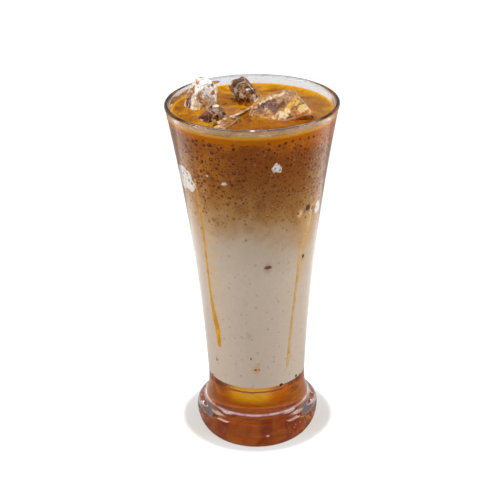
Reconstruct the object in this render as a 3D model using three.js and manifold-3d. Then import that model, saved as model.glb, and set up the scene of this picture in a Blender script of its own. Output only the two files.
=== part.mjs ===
// Iced palm sugar milk coffee in a footed flared glass: palm sugar syrup at the bottom, milk above it, coffee
// above the milk, a golden crema on top, and five pieces of ice that break the surface.
// Millimetres, +Z up. The origin is the centre of the ring that the foot stands on, and the photograph looks
// along +Y, so that -Y is the front and +X the right.
import * as THREE from "three";
import { mergeVertices } from "three/addons/utils/BufferGeometryUtils.js";
import Module from "manifold-3d";

// The glass, outside.
const HEIGHT = 182;
const RIM_RADIUS = 42.5;
const NECK_RADIUS = 25;
const NECK_Z = 34;
const FLARE_LINEAR = 7.1;
const FOOT_RADIUS = 31.6;
const FOOT_WIDEST_Z = 14.6;
const STANDING_RADIUS = 20.8;
const SHOULDER_RADIUS = 28.4;
const SHOULDER_Z = 19.4;
const PUNT_RADIUS = 15;
const PUNT_DEPTH = 0.8;

// The glass, inside.
const RIM_WALL = 2.2;
const NECK_WALL = 3;
const CAVITY_FLOOR_Z = 3;
const CAVITY_FLOOR_RADIUS = 14;
const CAVITY_CORNER_RADIUS = 19;
const CAVITY_CORNER_Z = 8;

// The drink, from the bottom up. A layer keeps the clearance to the glass and to its neighbours.
const CLEARANCE = 0.3;
const ICE_CLEARANCE = 0.5;
const SYRUP_TOP_Z = 35;
const MILK_TOP_Z = 137;
const CREMA_BOTTOM_Z = 173.6;
const DRINK_TOP_Z = 177;
const MENISCUS_RISE = 0.9;
const MENISCUS_WIDTH = 2.2;

const SIDES = 40;

const degrees = THREE.MathUtils.degToRad;
const wasm = await Module();
wasm.setup();

// Outer radius of the flared body at a height above the neck.
function bodyRadius(z) {
  const share = (z - NECK_Z) / (HEIGHT - NECK_Z);
  const square = RIM_RADIUS - NECK_RADIUS - FLARE_LINEAR;
  return NECK_RADIUS + FLARE_LINEAR * share + square * share * share;
}

// Inner radius of the glass at any height above the cavity's rounded corner.
function cavityRadius(z) {
  if (z >= NECK_Z) {
    const share = (z - NECK_Z) / (HEIGHT - NECK_Z);
    return bodyRadius(z) - THREE.MathUtils.lerp(NECK_WALL, RIM_WALL, share);
  }
  const share = (z - CAVITY_CORNER_Z) / (NECK_Z - CAVITY_CORNER_Z);
  return THREE.MathUtils.lerp(CAVITY_CORNER_RADIUS, NECK_RADIUS - NECK_WALL, share);
}

// Numbers evenly spaced from first to last, both included.
function spaced(first, last, steps) {
  return Array.from({ length: steps + 1 }, (_, i) => first + ((last - first) * i) / steps);
}

// Points of a 2D curve, without its first point, which ends the stretch before it.
function after(curve, steps) {
  return curve.getPoints(steps).slice(1);
}

// A closed solid of revolution about +Z, from points of (radius, height) that start and end on the axis.
function turned(profile, sides = SIDES) {
  const geometry = new THREE.LatheGeometry(profile, sides);
  geometry.rotateX(Math.PI / 2);
  return geometry;
}

function toManifold(geometry) {
  const plain = new THREE.BufferGeometry();
  plain.setAttribute("position", geometry.getAttribute("position").clone());
  if (geometry.index) plain.setIndex(geometry.index.clone());
  const merged = mergeVertices(plain, 1e-4);
  return new wasm.Manifold(
    new wasm.Mesh({
      numProp: 3,
      vertProperties: new Float32Array(merged.attributes.position.array),
      triVerts: new Uint32Array(merged.index.array),
    }),
  );
}

function toGeometry(solid) {
  const mesh = solid.getMesh();
  const geometry = new THREE.BufferGeometry();
  geometry.setAttribute("position", new THREE.BufferAttribute(mesh.vertProperties, 3));
  geometry.setIndex(new THREE.BufferAttribute(mesh.triVerts, 1));
  geometry.computeVertexNormals();
  return geometry;
}

function named(name, geometry, look) {
  const mesh = new THREE.Mesh(geometry, new THREE.MeshStandardMaterial(look));
  mesh.name = name;
  return mesh;
}

// Foot: a standing ring round a shallow punt, a bulging side, a rounded shoulder and a fillet up to the neck.
function footOutline() {
  const punt = spaced(0, 1, 3).map(
    (share) => new THREE.Vector2(PUNT_RADIUS * share, PUNT_DEPTH * (1 - share * share)),
  );
  const bulge = new THREE.EllipseCurve(
    STANDING_RADIUS,
    FOOT_WIDEST_Z,
    FOOT_RADIUS - STANDING_RADIUS,
    FOOT_WIDEST_Z,
    -Math.PI / 2,
    0,
    false,
  );
  const shoulder = new THREE.CubicBezierCurve(
    new THREE.Vector2(FOOT_RADIUS, FOOT_WIDEST_Z),
    new THREE.Vector2(FOOT_RADIUS, FOOT_WIDEST_Z + 2.6),
    new THREE.Vector2(SHOULDER_RADIUS + 1.7, SHOULDER_Z - 1),
    new THREE.Vector2(SHOULDER_RADIUS, SHOULDER_Z),
  );
  const fillet = new THREE.CubicBezierCurve(
    new THREE.Vector2(SHOULDER_RADIUS, SHOULDER_Z),
    new THREE.Vector2(SHOULDER_RADIUS - 2, SHOULDER_Z + 1.3),
    new THREE.Vector2(NECK_RADIUS - 0.1, NECK_Z - 9),
    new THREE.Vector2(NECK_RADIUS, NECK_Z),
  );
  return [...punt, ...bulge.getPoints(6), ...after(shoulder, 3), ...after(fillet, 5)];
}

// The rim is a half round lip between the outer and the inner wall.
function lip() {
  const radius = RIM_WALL / 2;
  const arc = new THREE.EllipseCurve(
    RIM_RADIUS - radius,
    HEIGHT - radius,
    radius,
    radius,
    0,
    Math.PI,
    false,
  );
  return arc.getPoints(4);
}

function glassGeometry() {
  const wallTop = HEIGHT - RIM_WALL / 2;
  const outside = spaced(NECK_Z, wallTop, 6).slice(1, -1);
  const inside = spaced(wallTop, NECK_Z, 6).slice(1);
  const corner = new THREE.EllipseCurve(
    CAVITY_FLOOR_RADIUS,
    CAVITY_CORNER_Z,
    CAVITY_CORNER_RADIUS - CAVITY_FLOOR_RADIUS,
    CAVITY_CORNER_Z - CAVITY_FLOOR_Z,
    0,
    -Math.PI / 2,
    true,
  );
  return turned([
    ...footOutline(),
    ...outside.map((z) => new THREE.Vector2(bodyRadius(z), z)),
    ...lip(),
    ...inside.map((z) => new THREE.Vector2(cavityRadius(z), z)),
    ...corner.getPoints(4),
    new THREE.Vector2(0, CAVITY_FLOOR_Z),
  ]);
}

// Height at which the milk gives way to the coffee: higher on the left, with slow lobes round the glass.
function milkSurface(x, y) {
  const around = Math.atan2(x, -y);
  const out = Math.min(1, Math.hypot(x, y) / cavityRadius(MILK_TOP_Z));
  const lobes = -6 * Math.sin(around) + 1.8 * Math.sin(3 * around + 1) + 0.8 * Math.sin(7 * around);
  return MILK_TOP_Z + out * lobes;
}

// Height of the crema: a meniscus up the wall, slow swells and a shallow swirl.
function cremaSurface(x, y) {
  const radius = Math.hypot(x, y);
  const fromWall = cavityRadius(DRINK_TOP_Z) - radius;
  const meniscus = MENISCUS_RISE * Math.exp(-fromWall / MENISCUS_WIDTH);
  const swell = 0.22 * Math.sin(x / 5 + 0.6) * Math.cos(y / 6.5);
  const swirl = 0.14 * Math.sin(2 * Math.atan2(y, x) + radius / 3.5);
  return DRINK_TOP_Z + meniscus + (swell + swirl) * Math.min(1, fromWall / 4);
}

// A layer of drink between two surfaces given as height of (x, y), out to the clearance at the glass.
// Its rings run up the middle of the lower surface, out to the wall, up the wall and back over the upper one.
function layerGeometry({ lower, upper, lowerRings, sideRings, upperRings }) {
  const wallRadius = (z) => cavityRadius(z) - CLEARANCE;
  const positions = [];
  const put = (x, y, z) => positions.push(x, y, z) / 3 - 1;
  const direction = (i) => {
    const angle = (2 * Math.PI * i) / SIDES;
    return [Math.sin(angle), -Math.cos(angle)];
  };
  const edge = (surface, level, i) => {
    const [dx, dy] = direction(i);
    const radius = wallRadius(level);
    return surface(dx * radius, dy * radius);
  };
  const rings = [];
  const addRing = (place) => rings.push(Array.from({ length: SIDES }, (_, i) => put(...place(i))));
  const level = (surface) => surface(0, 0);
  const flat = (surface, share) =>
    addRing((i) => {
      const [dx, dy] = direction(i);
      const z = edge(surface, level(surface), i);
      const radius = wallRadius(z) * share;
      const x = dx * radius;
      const y = dy * radius;
      return [x, y, share === 1 ? z : surface(x, y)];
    });
  const bottom = put(0, 0, level(lower));
  spaced(0, 1, lowerRings).slice(1).forEach((share) => flat(lower, share));
  spaced(0, 1, sideRings).slice(1, -1).forEach((share) =>
    addRing((i) => {
      const [dx, dy] = direction(i);
      const z = THREE.MathUtils.lerp(edge(lower, level(lower), i), edge(upper, level(upper), i), share);
      return [dx * wallRadius(z), dy * wallRadius(z), z];
    }),
  );
  spaced(1, 0, upperRings).slice(0, -1).forEach((share) => flat(upper, share));
  const top = put(0, 0, level(upper));

  const faces = [];
  for (let i = 0; i < SIDES; i++) {
    const next = (i + 1) % SIDES;
    faces.push(bottom, rings[0][next], rings[0][i]);
    for (let r = 0; r + 1 < rings.length; r++) {
      const [a, b] = [rings[r], rings[r + 1]];
      faces.push(a[i], a[next], b[next], a[i], b[next], b[i]);
    }
    faces.push(rings.at(-1)[i], rings.at(-1)[next], top);
  }
  const geometry = new THREE.BufferGeometry();
  geometry.setAttribute("position", new THREE.Float32BufferAttribute(positions, 3));
  geometry.setIndex(faces);
  return geometry;
}

// Syrup: fills the rounded floor of the cavity and the foot of the wall.
function syrupGeometry() {
  const corner = new THREE.EllipseCurve(
    CAVITY_FLOOR_RADIUS,
    CAVITY_CORNER_Z,
    CAVITY_CORNER_RADIUS - CAVITY_FLOOR_RADIUS - CLEARANCE,
    CAVITY_CORNER_Z - CAVITY_FLOOR_Z - CLEARANCE,
    -Math.PI / 2,
    0,
    false,
  );
  const wall = spaced(CAVITY_CORNER_Z, SYRUP_TOP_Z, 3).slice(1);
  return turned([
    new THREE.Vector2(0, CAVITY_FLOOR_Z + CLEARANCE),
    ...corner.getPoints(4),
    ...wall.map((z) => new THREE.Vector2(cavityRadius(z) - CLEARANCE, z)),
    new THREE.Vector2(0, SYRUP_TOP_Z),
  ]);
}

// The pieces of ice: half sizes, place of the middle, turn about X, Y and Z in degrees, how square the piece
// still is (2 is an ellipsoid, 7 nearly a box), how much it narrows upwards and backwards, and the depth of its
// hollows, which a phase shifts.
const ICE = [
  {
    name: "ice_tall_left",
    half: [6.3, 6.5, 14],
    at: [-25.6, 6.6, 177.4],
    turn: [-8, 17, 24],
    squareness: 3.4,
    narrowUp: 0.1,
    narrowBack: 0,
    hollow: 0.09,
    phase: 0.4,
  },
  {
    name: "ice_leaning_back",
    half: [4.9, 4.8, 11],
    at: [-1.4, 15.4, 177.8],
    turn: [-8, -37, 8],
    squareness: 4.4,
    narrowUp: -0.02,
    narrowBack: 0,
    hollow: 0.08,
    phase: 1.7,
  },
  {
    name: "ice_wedge_left",
    half: [8, 6.4, 10],
    at: [-18.8, -10.6, 174.6],
    turn: [12, 12, 38],
    squareness: 3,
    narrowUp: 0.5,
    narrowBack: 0,
    hollow: 0.1,
    phase: 2.9,
  },
  {
    name: "ice_slab_front",
    half: [9, 4.4, 6.5],
    at: [-12.2, -20.8, 173.1],
    turn: [8, -8, 50],
    squareness: 4.5,
    narrowUp: 0.08,
    narrowBack: 0,
    hollow: 0.06,
    phase: 4.1,
  },
  {
    name: "ice_large_right",
    half: [15.4, 11.2, 10.5],
    at: [13.7, -4, 172.8],
    turn: [28, -15, 6],
    squareness: 7,
    narrowUp: 0.06,
    narrowBack: 0.3,
    hollow: 0.05,
    phase: 5.2,
  },
];

const ICE_SEGMENTS = 5;

// A melted block: a rounded box that narrows upwards and backwards, with slow hollows in its faces.
function iceGeometry({ half, at, turn, squareness, narrowUp, narrowBack, hollow, phase }, grow = 0) {
  const box = new THREE.BoxGeometry(2, 2, 2, ICE_SEGMENTS, ICE_SEGMENTS, ICE_SEGMENTS);
  const points = box.getAttribute("position");
  const point = new THREE.Vector3();
  for (let i = 0; i < points.count; i++) {
    point.fromBufferAttribute(points, i).normalize();
    const dents =
      Math.sin(3.1 * point.x + 2.3 * point.y + phase) * Math.cos(2.7 * point.z - 1.9 * point.x + 2 * phase);
    const reach = ["x", "y", "z"].reduce((sum, axis) => sum + Math.abs(point[axis]) ** squareness, 0);
    point.multiplyScalar((1 + hollow * dents) / reach ** (1 / squareness));
    const across = (1 - narrowUp * point.z) * (1 - narrowBack * point.y);
    point.set(point.x * half[0] * across, point.y * half[1] * (1 - narrowUp * point.z), point.z * half[2]);
    point.addScaledVector(point.clone().normalize(), grow);
    points.setXYZ(i, point.x, point.y, point.z);
  }
  const bare = new THREE.BufferGeometry().setAttribute("position", points).setIndex(box.index);
  const merged = mergeVertices(bare, 1e-4);
  merged.applyMatrix4(new THREE.Matrix4().makeRotationFromEuler(new THREE.Euler(...turn.map(degrees), "XYZ")));
  merged.translate(...at);
  return merged;
}

// Runs of syrup down the inside of the wall, from the top down. Each point of a path is the angle from the front,
// positive to the right, the height, and half the run's width.
const SYRUP_RUNS = [
  {
    name: "syrup_run_left",
    path: [
      [-50.5, 152, 0.6],
      [-50.8, 134, 0.8],
      [-52.7, 109, 0.8],
      [-53.7, 88, 0.9],
      [-51.5, 74, 1.6],
      [-48.8, 66, 1.9],
      [-48.4, 56, 0.9],
    ],
  },
  {
    name: "syrup_run_right",
    path: [
      [56.6, 136, 1],
      [55, 124, 1.6],
      [48.6, 113, 1.4],
      [47, 96, 1],
      [44.4, 74, 1],
      [41.4, 49, 1.1],
      [40.6, 44, 0.8],
    ],
  },
];
const RUN_DEPTH = 1.1;
const RUN_STEPS = 12;
const RUN_SIDES = 6;

// A run is a flattened tube whose middle lies on the drink's side, so that the wall's clearance trims it flush.
function runGeometry({ path }, grow = 0) {
  const positions = [];
  const rings = [];
  const line = new THREE.CatmullRomCurve3(path.map((point) => new THREE.Vector3(...point)));
  const points = line.getPoints(RUN_STEPS);
  for (const [step, point] of points.entries()) {
    const first = step === 0;
    const last = step === RUN_STEPS;
    const angle = degrees(point.x);
    const z = point.y + (first ? grow : 0) - (last ? grow : 0);
    const end = first || last ? 0.45 : 1;
    const half = point.z * end + grow;
    const depth = RUN_DEPTH * end + grow;
    rings.push(
      Array.from({ length: RUN_SIDES }, (_, i) => {
        const turn = (2 * Math.PI * i) / RUN_SIDES;
        const radius = cavityRadius(z) - CLEARANCE + depth * Math.cos(turn);
        const around = angle + (half * Math.sin(turn)) / radius;
        positions.push(radius * Math.sin(around), -radius * Math.cos(around), z);
        return positions.length / 3 - 1;
      }),
    );
  }
  const faces = [];
  const cap = (ring, flip) => {
    for (let i = 1; i + 1 < RUN_SIDES; i++) {
      faces.push(...(flip ? [ring[0], ring[i + 1], ring[i]] : [ring[0], ring[i], ring[i + 1]]));
    }
  };
  cap(rings[0], false);
  for (let r = 0; r + 1 < rings.length; r++) {
    for (let i = 0; i < RUN_SIDES; i++) {
      const next = (i + 1) % RUN_SIDES;
      const [a, b] = [rings[r], rings[r + 1]];
      faces.push(a[i], b[next], a[next], a[i], b[i], b[next]);
    }
  }
  cap(rings.at(-1), true);
  const geometry = new THREE.BufferGeometry();
  geometry.setAttribute("position", new THREE.Float32BufferAttribute(positions, 3));
  geometry.setIndex(faces);
  return geometry;
}

const LAYERS = [
  {
    name: "milk",
    look: { color: 0xcabba8, roughness: 0.4, metalness: 0 },
    lower: () => SYRUP_TOP_Z + CLEARANCE,
    upper: milkSurface,
    lowerRings: 2,
    sideRings: 8,
    upperRings: 3,
  },
  {
    name: "coffee",
    look: { color: 0x8d5a2a, roughness: 0.4, metalness: 0 },
    lower: (x, y) => milkSurface(x, y) + CLEARANCE,
    upper: () => CREMA_BOTTOM_Z,
    lowerRings: 3,
    sideRings: 4,
    upperRings: 2,
  },
  {
    name: "crema",
    look: { color: 0xb87a1e, roughness: 0.25, metalness: 0 },
    lower: () => CREMA_BOTTOM_Z + CLEARANCE,
    upper: cremaSurface,
    lowerRings: 2,
    sideRings: 2,
    upperRings: 8,
  },
];

const iceGrown = ICE.map((piece) => toManifold(iceGeometry(piece, ICE_CLEARANCE)));
const inside = toManifold(
  turned([
    new THREE.Vector2(0, CAVITY_CORNER_Z),
    ...spaced(CAVITY_CORNER_Z, HEIGHT, 16).map((z) => new THREE.Vector2(cavityRadius(z) - CLEARANCE, z)),
    new THREE.Vector2(0, HEIGHT),
  ]),
);
const runs = SYRUP_RUNS.map((run) => toManifold(runGeometry(run)).intersect(inside));
const runsGrown = SYRUP_RUNS.map((run) => toManifold(runGeometry(run, CLEARANCE)));

// A layer leaves room for the ice and for the runs of syrup.
function poured(layer) {
  const cutters = [...iceGrown, ...runsGrown];
  return toGeometry(cutters.reduce((solid, cutter) => solid.subtract(cutter), toManifold(layerGeometry(layer))));
}

const drink = new THREE.Group();
drink.add(named("glass", glassGeometry(), { color: 0xeef2f2, roughness: 0.05, metalness: 0 }));
drink.add(named("palm_sugar_syrup", syrupGeometry(), { color: 0xb36a00, roughness: 0.1, metalness: 0 }));
LAYERS.forEach((layer) => drink.add(named(layer.name, poured(layer), layer.look)));
SYRUP_RUNS.forEach((run, i) =>
  drink.add(named(run.name, toGeometry(runs[i]), { color: 0xc07c10, roughness: 0.2, metalness: 0 })),
);
ICE.forEach((piece) =>
  drink.add(named(piece.name, iceGeometry(piece), { color: 0xe6dccb, roughness: 0.1, metalness: 0 })),
);

export default drink;
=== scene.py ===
"""Iced palm sugar milk coffee in a footed flared glass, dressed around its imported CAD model.

The sizes are in millimetres and in the frame of the CAD model: +Z is up along the glass's axis, -Y is the
front and +X the right. Every mesh is made in that frame and scaled to metres as it becomes a Blender object.
"""

from __future__ import annotations

import logging
import math
from collections.abc import Callable, Sequence
from dataclasses import dataclass
from enum import Enum
from functools import lru_cache

import bmesh
import bpy
import numpy as np
from mathutils import Matrix, Vector, noise

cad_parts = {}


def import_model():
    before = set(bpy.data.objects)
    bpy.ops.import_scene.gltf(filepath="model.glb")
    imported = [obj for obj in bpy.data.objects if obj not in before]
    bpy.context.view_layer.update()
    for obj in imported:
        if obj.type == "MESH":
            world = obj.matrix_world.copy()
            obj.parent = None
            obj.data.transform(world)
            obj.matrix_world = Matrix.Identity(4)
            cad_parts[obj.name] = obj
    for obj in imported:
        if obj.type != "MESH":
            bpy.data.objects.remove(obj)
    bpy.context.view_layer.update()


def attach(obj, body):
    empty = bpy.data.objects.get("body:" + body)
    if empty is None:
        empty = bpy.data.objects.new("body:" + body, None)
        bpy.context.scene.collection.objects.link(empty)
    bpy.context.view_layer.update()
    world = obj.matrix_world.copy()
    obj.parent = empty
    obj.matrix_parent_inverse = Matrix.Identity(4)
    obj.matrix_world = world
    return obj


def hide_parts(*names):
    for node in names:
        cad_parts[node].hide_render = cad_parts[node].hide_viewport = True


LOG = logging.getLogger("milk_coffee")
MM = 0.001
BODY = "root"
EDGE = "edge_share"
SHARP_ABOVE = 65.0

Node = bpy.types.Node
Socket = bpy.types.NodeSocket
Tree = bpy.types.NodeTree
Material = bpy.types.Material
Piece = bpy.types.Object
Colour = tuple[float, float, float]
Value = float | Sequence[float] | Socket
Points = np.ndarray
Surface = Callable[[Points, Points], Points]
Mesh = tuple[Points, list[list[int]]]


class Slot(Enum):
    """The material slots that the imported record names."""

    GLASS = "glass"
    SYRUP = "syrup"
    MILK = "milk"
    COFFEE = "coffee"
    CREMA = "crema"
    SYRUP_RUN = "syrup_run"
    ICE = "ice"


def linear(code: str, gain: float = 1.0) -> Colour:
    """A colour as scene light, from the way it is written for a screen.

    Args:
        code: Six hexadecimal digits, red, green and blue.
        gain: What the scene light is multiplied by, to make up for dim light on the surface.

    Returns:
        Red, green and blue from 0 to 1.
    """
    parts = [int(code[i : i + 2], 16) / 255 for i in (0, 2, 4)]
    light = [c / 12.92 if c <= 0.04045 else ((c + 0.055) / 1.055) ** 2.4 for c in parts]
    return tuple(min(0.95, c * gain) for c in light)


# Meshes


def make_object(name: str, skin: Mesh) -> Piece:
    """A mesh object in metres at the frame's origin.

    Args:
        name: The piece's name.
        skin: Places in millimetres, one row each, and the corners of each face.

    Returns:
        The linked object.
    """
    points, faces = skin
    mesh = bpy.data.meshes.new(name)
    mesh.from_pydata((np.asarray(points) * MM).tolist(), [], faces)
    mesh.validate()
    piece = bpy.data.objects.new(name, mesh)
    bpy.context.scene.collection.objects.link(piece)
    return piece


def finish_piece(piece: Piece, material: Material, slot: Slot, *nodes: str) -> None:
    """Dresses a piece, ties it to the CAD body and reports it.

    Args:
        piece: The piece as built.
        material: Its finish.
        slot: The record's slot that the finish stands for.
        nodes: The CAD nodes that the piece stands for.
    """
    piece.data.materials.clear()
    piece.data.materials.append(material)
    piece.data.shade_smooth()
    piece.data.set_sharp_from_angle(angle=math.radians(SHARP_ABOVE))
    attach(piece, BODY)
    if nodes:
        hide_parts(*nodes)
    LOG.info("%s: %d faces, %s", piece.name, len(piece.data.polygons), material.name)


def lathe(outline: Sequence[tuple[float, float]], sides: int) -> Mesh:
    """Turns an outline about the glass's axis into a closed skin.

    Args:
        outline: Radius and height of each point, from one point on the axis to another.
        sides: How many steps go round.

    Returns:
        The points and the faces.
    """
    angles = np.arange(sides) * 2 * math.pi / sides
    first, *middle, last = outline
    points = [(0.0, 0.0, first[1])]
    for radius, height in middle:
        points.extend(zip(radius * np.sin(angles), -radius * np.cos(angles), [height] * sides))
    points.append((0.0, 0.0, last[1]))
    return np.array(points), ring_faces(len(middle), sides)


def ring_faces(rings: int, sides: int) -> list[list[int]]:
    """Faces of a closed skin: a first point, rings of points and a last point.

    Args:
        rings: How many rings there are.
        sides: How many points each ring has.

    Returns:
        The corners of each face.
    """
    faces = []
    last = rings * sides + 1
    for i in range(sides):
        after = (i + 1) % sides
        faces.append([0, 1 + after, 1 + i])
        for ring in range(rings - 1):
            low = 1 + ring * sides
            faces.append([low + i, low + after, low + sides + after, low + sides + i])
        faces.append([last, last - sides + i, last - sides + after])
    return faces


def ball(rings: int, sides: int) -> Mesh:
    """A round ball of radius 1, as the pattern for bubbles and drops."""
    turn = np.linspace(0, math.pi, rings + 2)
    return lathe([(float(np.sin(t)), float(-np.cos(t))) for t in turn], sides)


def dome(rings: int, sides: int) -> Mesh:
    """A round drop of radius 1 that sits on a nearly flat base.

    Args:
        rings: How many rings there are.
        sides: How many steps go round.

    Returns:
        The points and the faces.
    """
    points, faces = ball(rings, sides)
    points[:, 2] = np.where(points[:, 2] < 0, points[:, 2] * 0.06, points[:, 2])
    return points, faces


def copies(pattern: Mesh, centres: Points, axes: Points, sizes: Points) -> Mesh:
    """Copies of one small closed skin.

    Args:
        pattern: The skin that is copied.
        centres: Where each copy goes, one row each.
        axes: Three unit axes for each copy.
        sizes: How far each copy reaches along each of its axes.

    Returns:
        All the copies as one skin.
    """
    points, faces = pattern
    placed = centres[:, None, :] + np.einsum("pk,nk,nkj->npj", points, sizes, axes)
    starts = range(0, len(centres) * len(points), len(points))
    return placed.reshape(-1, 3), [[c + start for c in face] for start in starts for face in faces]


def joined(skins: Sequence[Mesh]) -> Mesh:
    """Several closed skins as one.

    Args:
        skins: The skins.

    Returns:
        The points and the faces.
    """
    faces = []
    start = 0
    for points, own in skins:
        faces.extend([c + start for c in face] for face in own)
        start += len(points)
    return np.vstack([points for points, _ in skins]), faces


def flat_surface(z: float) -> Surface:
    """A flat surface at one height."""
    return lambda x, y: x * 0 + z


def keep_apart(places: Points, radii: Points, margin: float) -> Points:
    """Which of the places, taken in turn, lie clear of those taken before.

    Args:
        places: One row each.
        radii: How far each reaches.
        margin: What the sum of two radii is multiplied by.

    Returns:
        True for each place that is kept.
    """
    kept = np.zeros(len(places), bool)
    for i, (place, radius) in enumerate(zip(places, radii)):
        near = np.linalg.norm(places[kept] - place, axis=1) < (radii[kept] + radius) * margin
        kept[i] = not near.any()
    return kept


def curve_points(handles: Sequence[Sequence[float]], steps: int) -> list[tuple[float, float]]:
    """Points of a cubic curve after its first one.

    Args:
        handles: Radius and height of the start, of the two handles and of the end.
        steps: How many points.

    Returns:
        Pairs of radius and height.
    """
    shares = np.linspace(0, 1, steps + 1)[1:, None]
    rest = 1 - shares
    weights = (rest**3, 3 * rest**2 * shares, 3 * rest * shares**2, shares**3)
    line = sum(weight * np.array(handle, float) for weight, handle in zip(weights, handles))
    return [tuple(point) for point in line]


@dataclass(frozen=True)
class GlassShape:
    """Sizes of the footed flared glass in millimetres, as the CAD source has them."""

    height: float = 182.0
    rim_radius: float = 42.5
    neck_radius: float = 25.0
    neck_z: float = 34.0
    flare_linear: float = 7.1
    foot_radius: float = 31.6
    foot_widest_z: float = 14.6
    standing_radius: float = 20.8
    shoulder_radius: float = 28.4
    shoulder_z: float = 19.4
    punt_radius: float = 15.0
    punt_depth: float = 0.8
    rim_wall: float = 2.2
    neck_wall: float = 3.0
    floor_z: float = 3.0
    floor_radius: float = 14.0
    corner_radius: float = 19.0
    corner_z: float = 8.0

    def body_radius(self, z: Points | float) -> Points | float:
        """Outer radius of the flared body at a height above the neck.

        Args:
            z: The height, or several.

        Returns:
            The radius at each.
        """
        share = (z - self.neck_z) / (self.height - self.neck_z)
        square = self.rim_radius - self.neck_radius - self.flare_linear
        return self.neck_radius + self.flare_linear * share + square * share * share

    def cavity_radius(self, z: Points | float) -> Points:
        """Inner radius of the glass at any height above the cavity's rounded corner.

        Args:
            z: The height, or several.

        Returns:
            The radius at each.
        """
        z = np.asarray(z, float)
        share = (z - self.neck_z) / (self.height - self.neck_z)
        above = self.body_radius(z) - (self.neck_wall + (self.rim_wall - self.neck_wall) * share)
        low = (z - self.corner_z) / (self.neck_z - self.corner_z)
        below = self.corner_radius + (self.neck_radius - self.neck_wall - self.corner_radius) * low
        return np.where(z >= self.neck_z, above, below)

    def wall_axes(self, angles: Points, heights: Points) -> Points:
        """Axes along the wall, up it and out of it, for each angle in degrees from the front and height.

        Args:
            angles: Degrees from the front, to the right.
            heights: One for each.

        Returns:
            Three unit axes for each.
        """
        slope = self.body_radius(heights + 0.5) - self.body_radius(heights - 0.5)
        turn = np.radians(angles)
        along = np.column_stack([np.cos(turn), np.sin(turn), np.zeros(len(turn))])
        out = np.column_stack([np.sin(turn), -np.cos(turn), -slope])
        out /= np.linalg.norm(out, axis=1)[:, None]
        return np.stack([along, np.cross(out, along), out], axis=1)

    def foot_outline(self) -> list[tuple[float, float]]:
        """Outline of the punt, the standing ring, the bulge, the shoulder and the fillet up to the neck.

        Returns:
            Pairs of radius and height.
        """
        punt = [(self.punt_radius * s, self.punt_depth * (1 - s * s)) for s in np.linspace(0, 1, 8)]
        turn = np.linspace(-math.pi / 2, 0, 25)
        reach = self.foot_radius - self.standing_radius
        low, rise = self.standing_radius, self.foot_widest_z
        bulge = [(low + reach * math.cos(t), rise * (1 + math.sin(t))) for t in turn]
        edge = (self.shoulder_radius, self.shoulder_z)
        shoulder = curve_points(
            (
                (self.foot_radius, self.foot_widest_z),
                (self.foot_radius, self.foot_widest_z + 2.6),
                (self.shoulder_radius + 1.7, self.shoulder_z - 1),
                edge,
            ),
            10,
        )
        fillet = curve_points(
            (
                edge,
                (self.shoulder_radius - 2, self.shoulder_z + 1.3),
                (self.neck_radius - 0.1, self.neck_z - 9),
                (self.neck_radius, self.neck_z),
            ),
            18,
        )
        return [*punt, *bulge, *shoulder, *fillet]

    def outline(self) -> list[tuple[float, float]]:
        """Whole outline of the glass, from the middle of the punt to the middle of the cavity's floor.

        Returns:
            Pairs of radius and height.
        """
        lip = self.rim_wall / 2
        wall_top = self.height - lip
        outside = [(float(self.body_radius(z)), z) for z in np.linspace(self.neck_z, wall_top, 49)[1:-1]]
        turn = np.linspace(0, math.pi, 13)
        rim = [(self.rim_radius - lip + lip * math.cos(t), wall_top + lip * math.sin(t)) for t in turn]
        inside = [(float(self.cavity_radius(z)), z) for z in np.linspace(wall_top, self.neck_z, 49)[1:]]
        floor = reversed(self.floor_outline(0))
        return [*self.foot_outline(), *outside, *rim, *inside, *floor, (0.0, self.floor_z)]

    def floor_outline(self, grow: float) -> list[tuple[float, float]]:
        """Rounded corner of the cavity from its floor up, moved out into the glass by a little.

        Args:
            grow: How far it is moved out.

        Returns:
            Pairs of radius and height.
        """
        turn = np.linspace(-math.pi / 2, 0, 13)
        across = self.corner_radius - self.floor_radius + grow
        down = self.corner_z - self.floor_z + grow
        return [(self.floor_radius + across * math.cos(t), self.corner_z + down * math.sin(t)) for t in turn]


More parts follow.
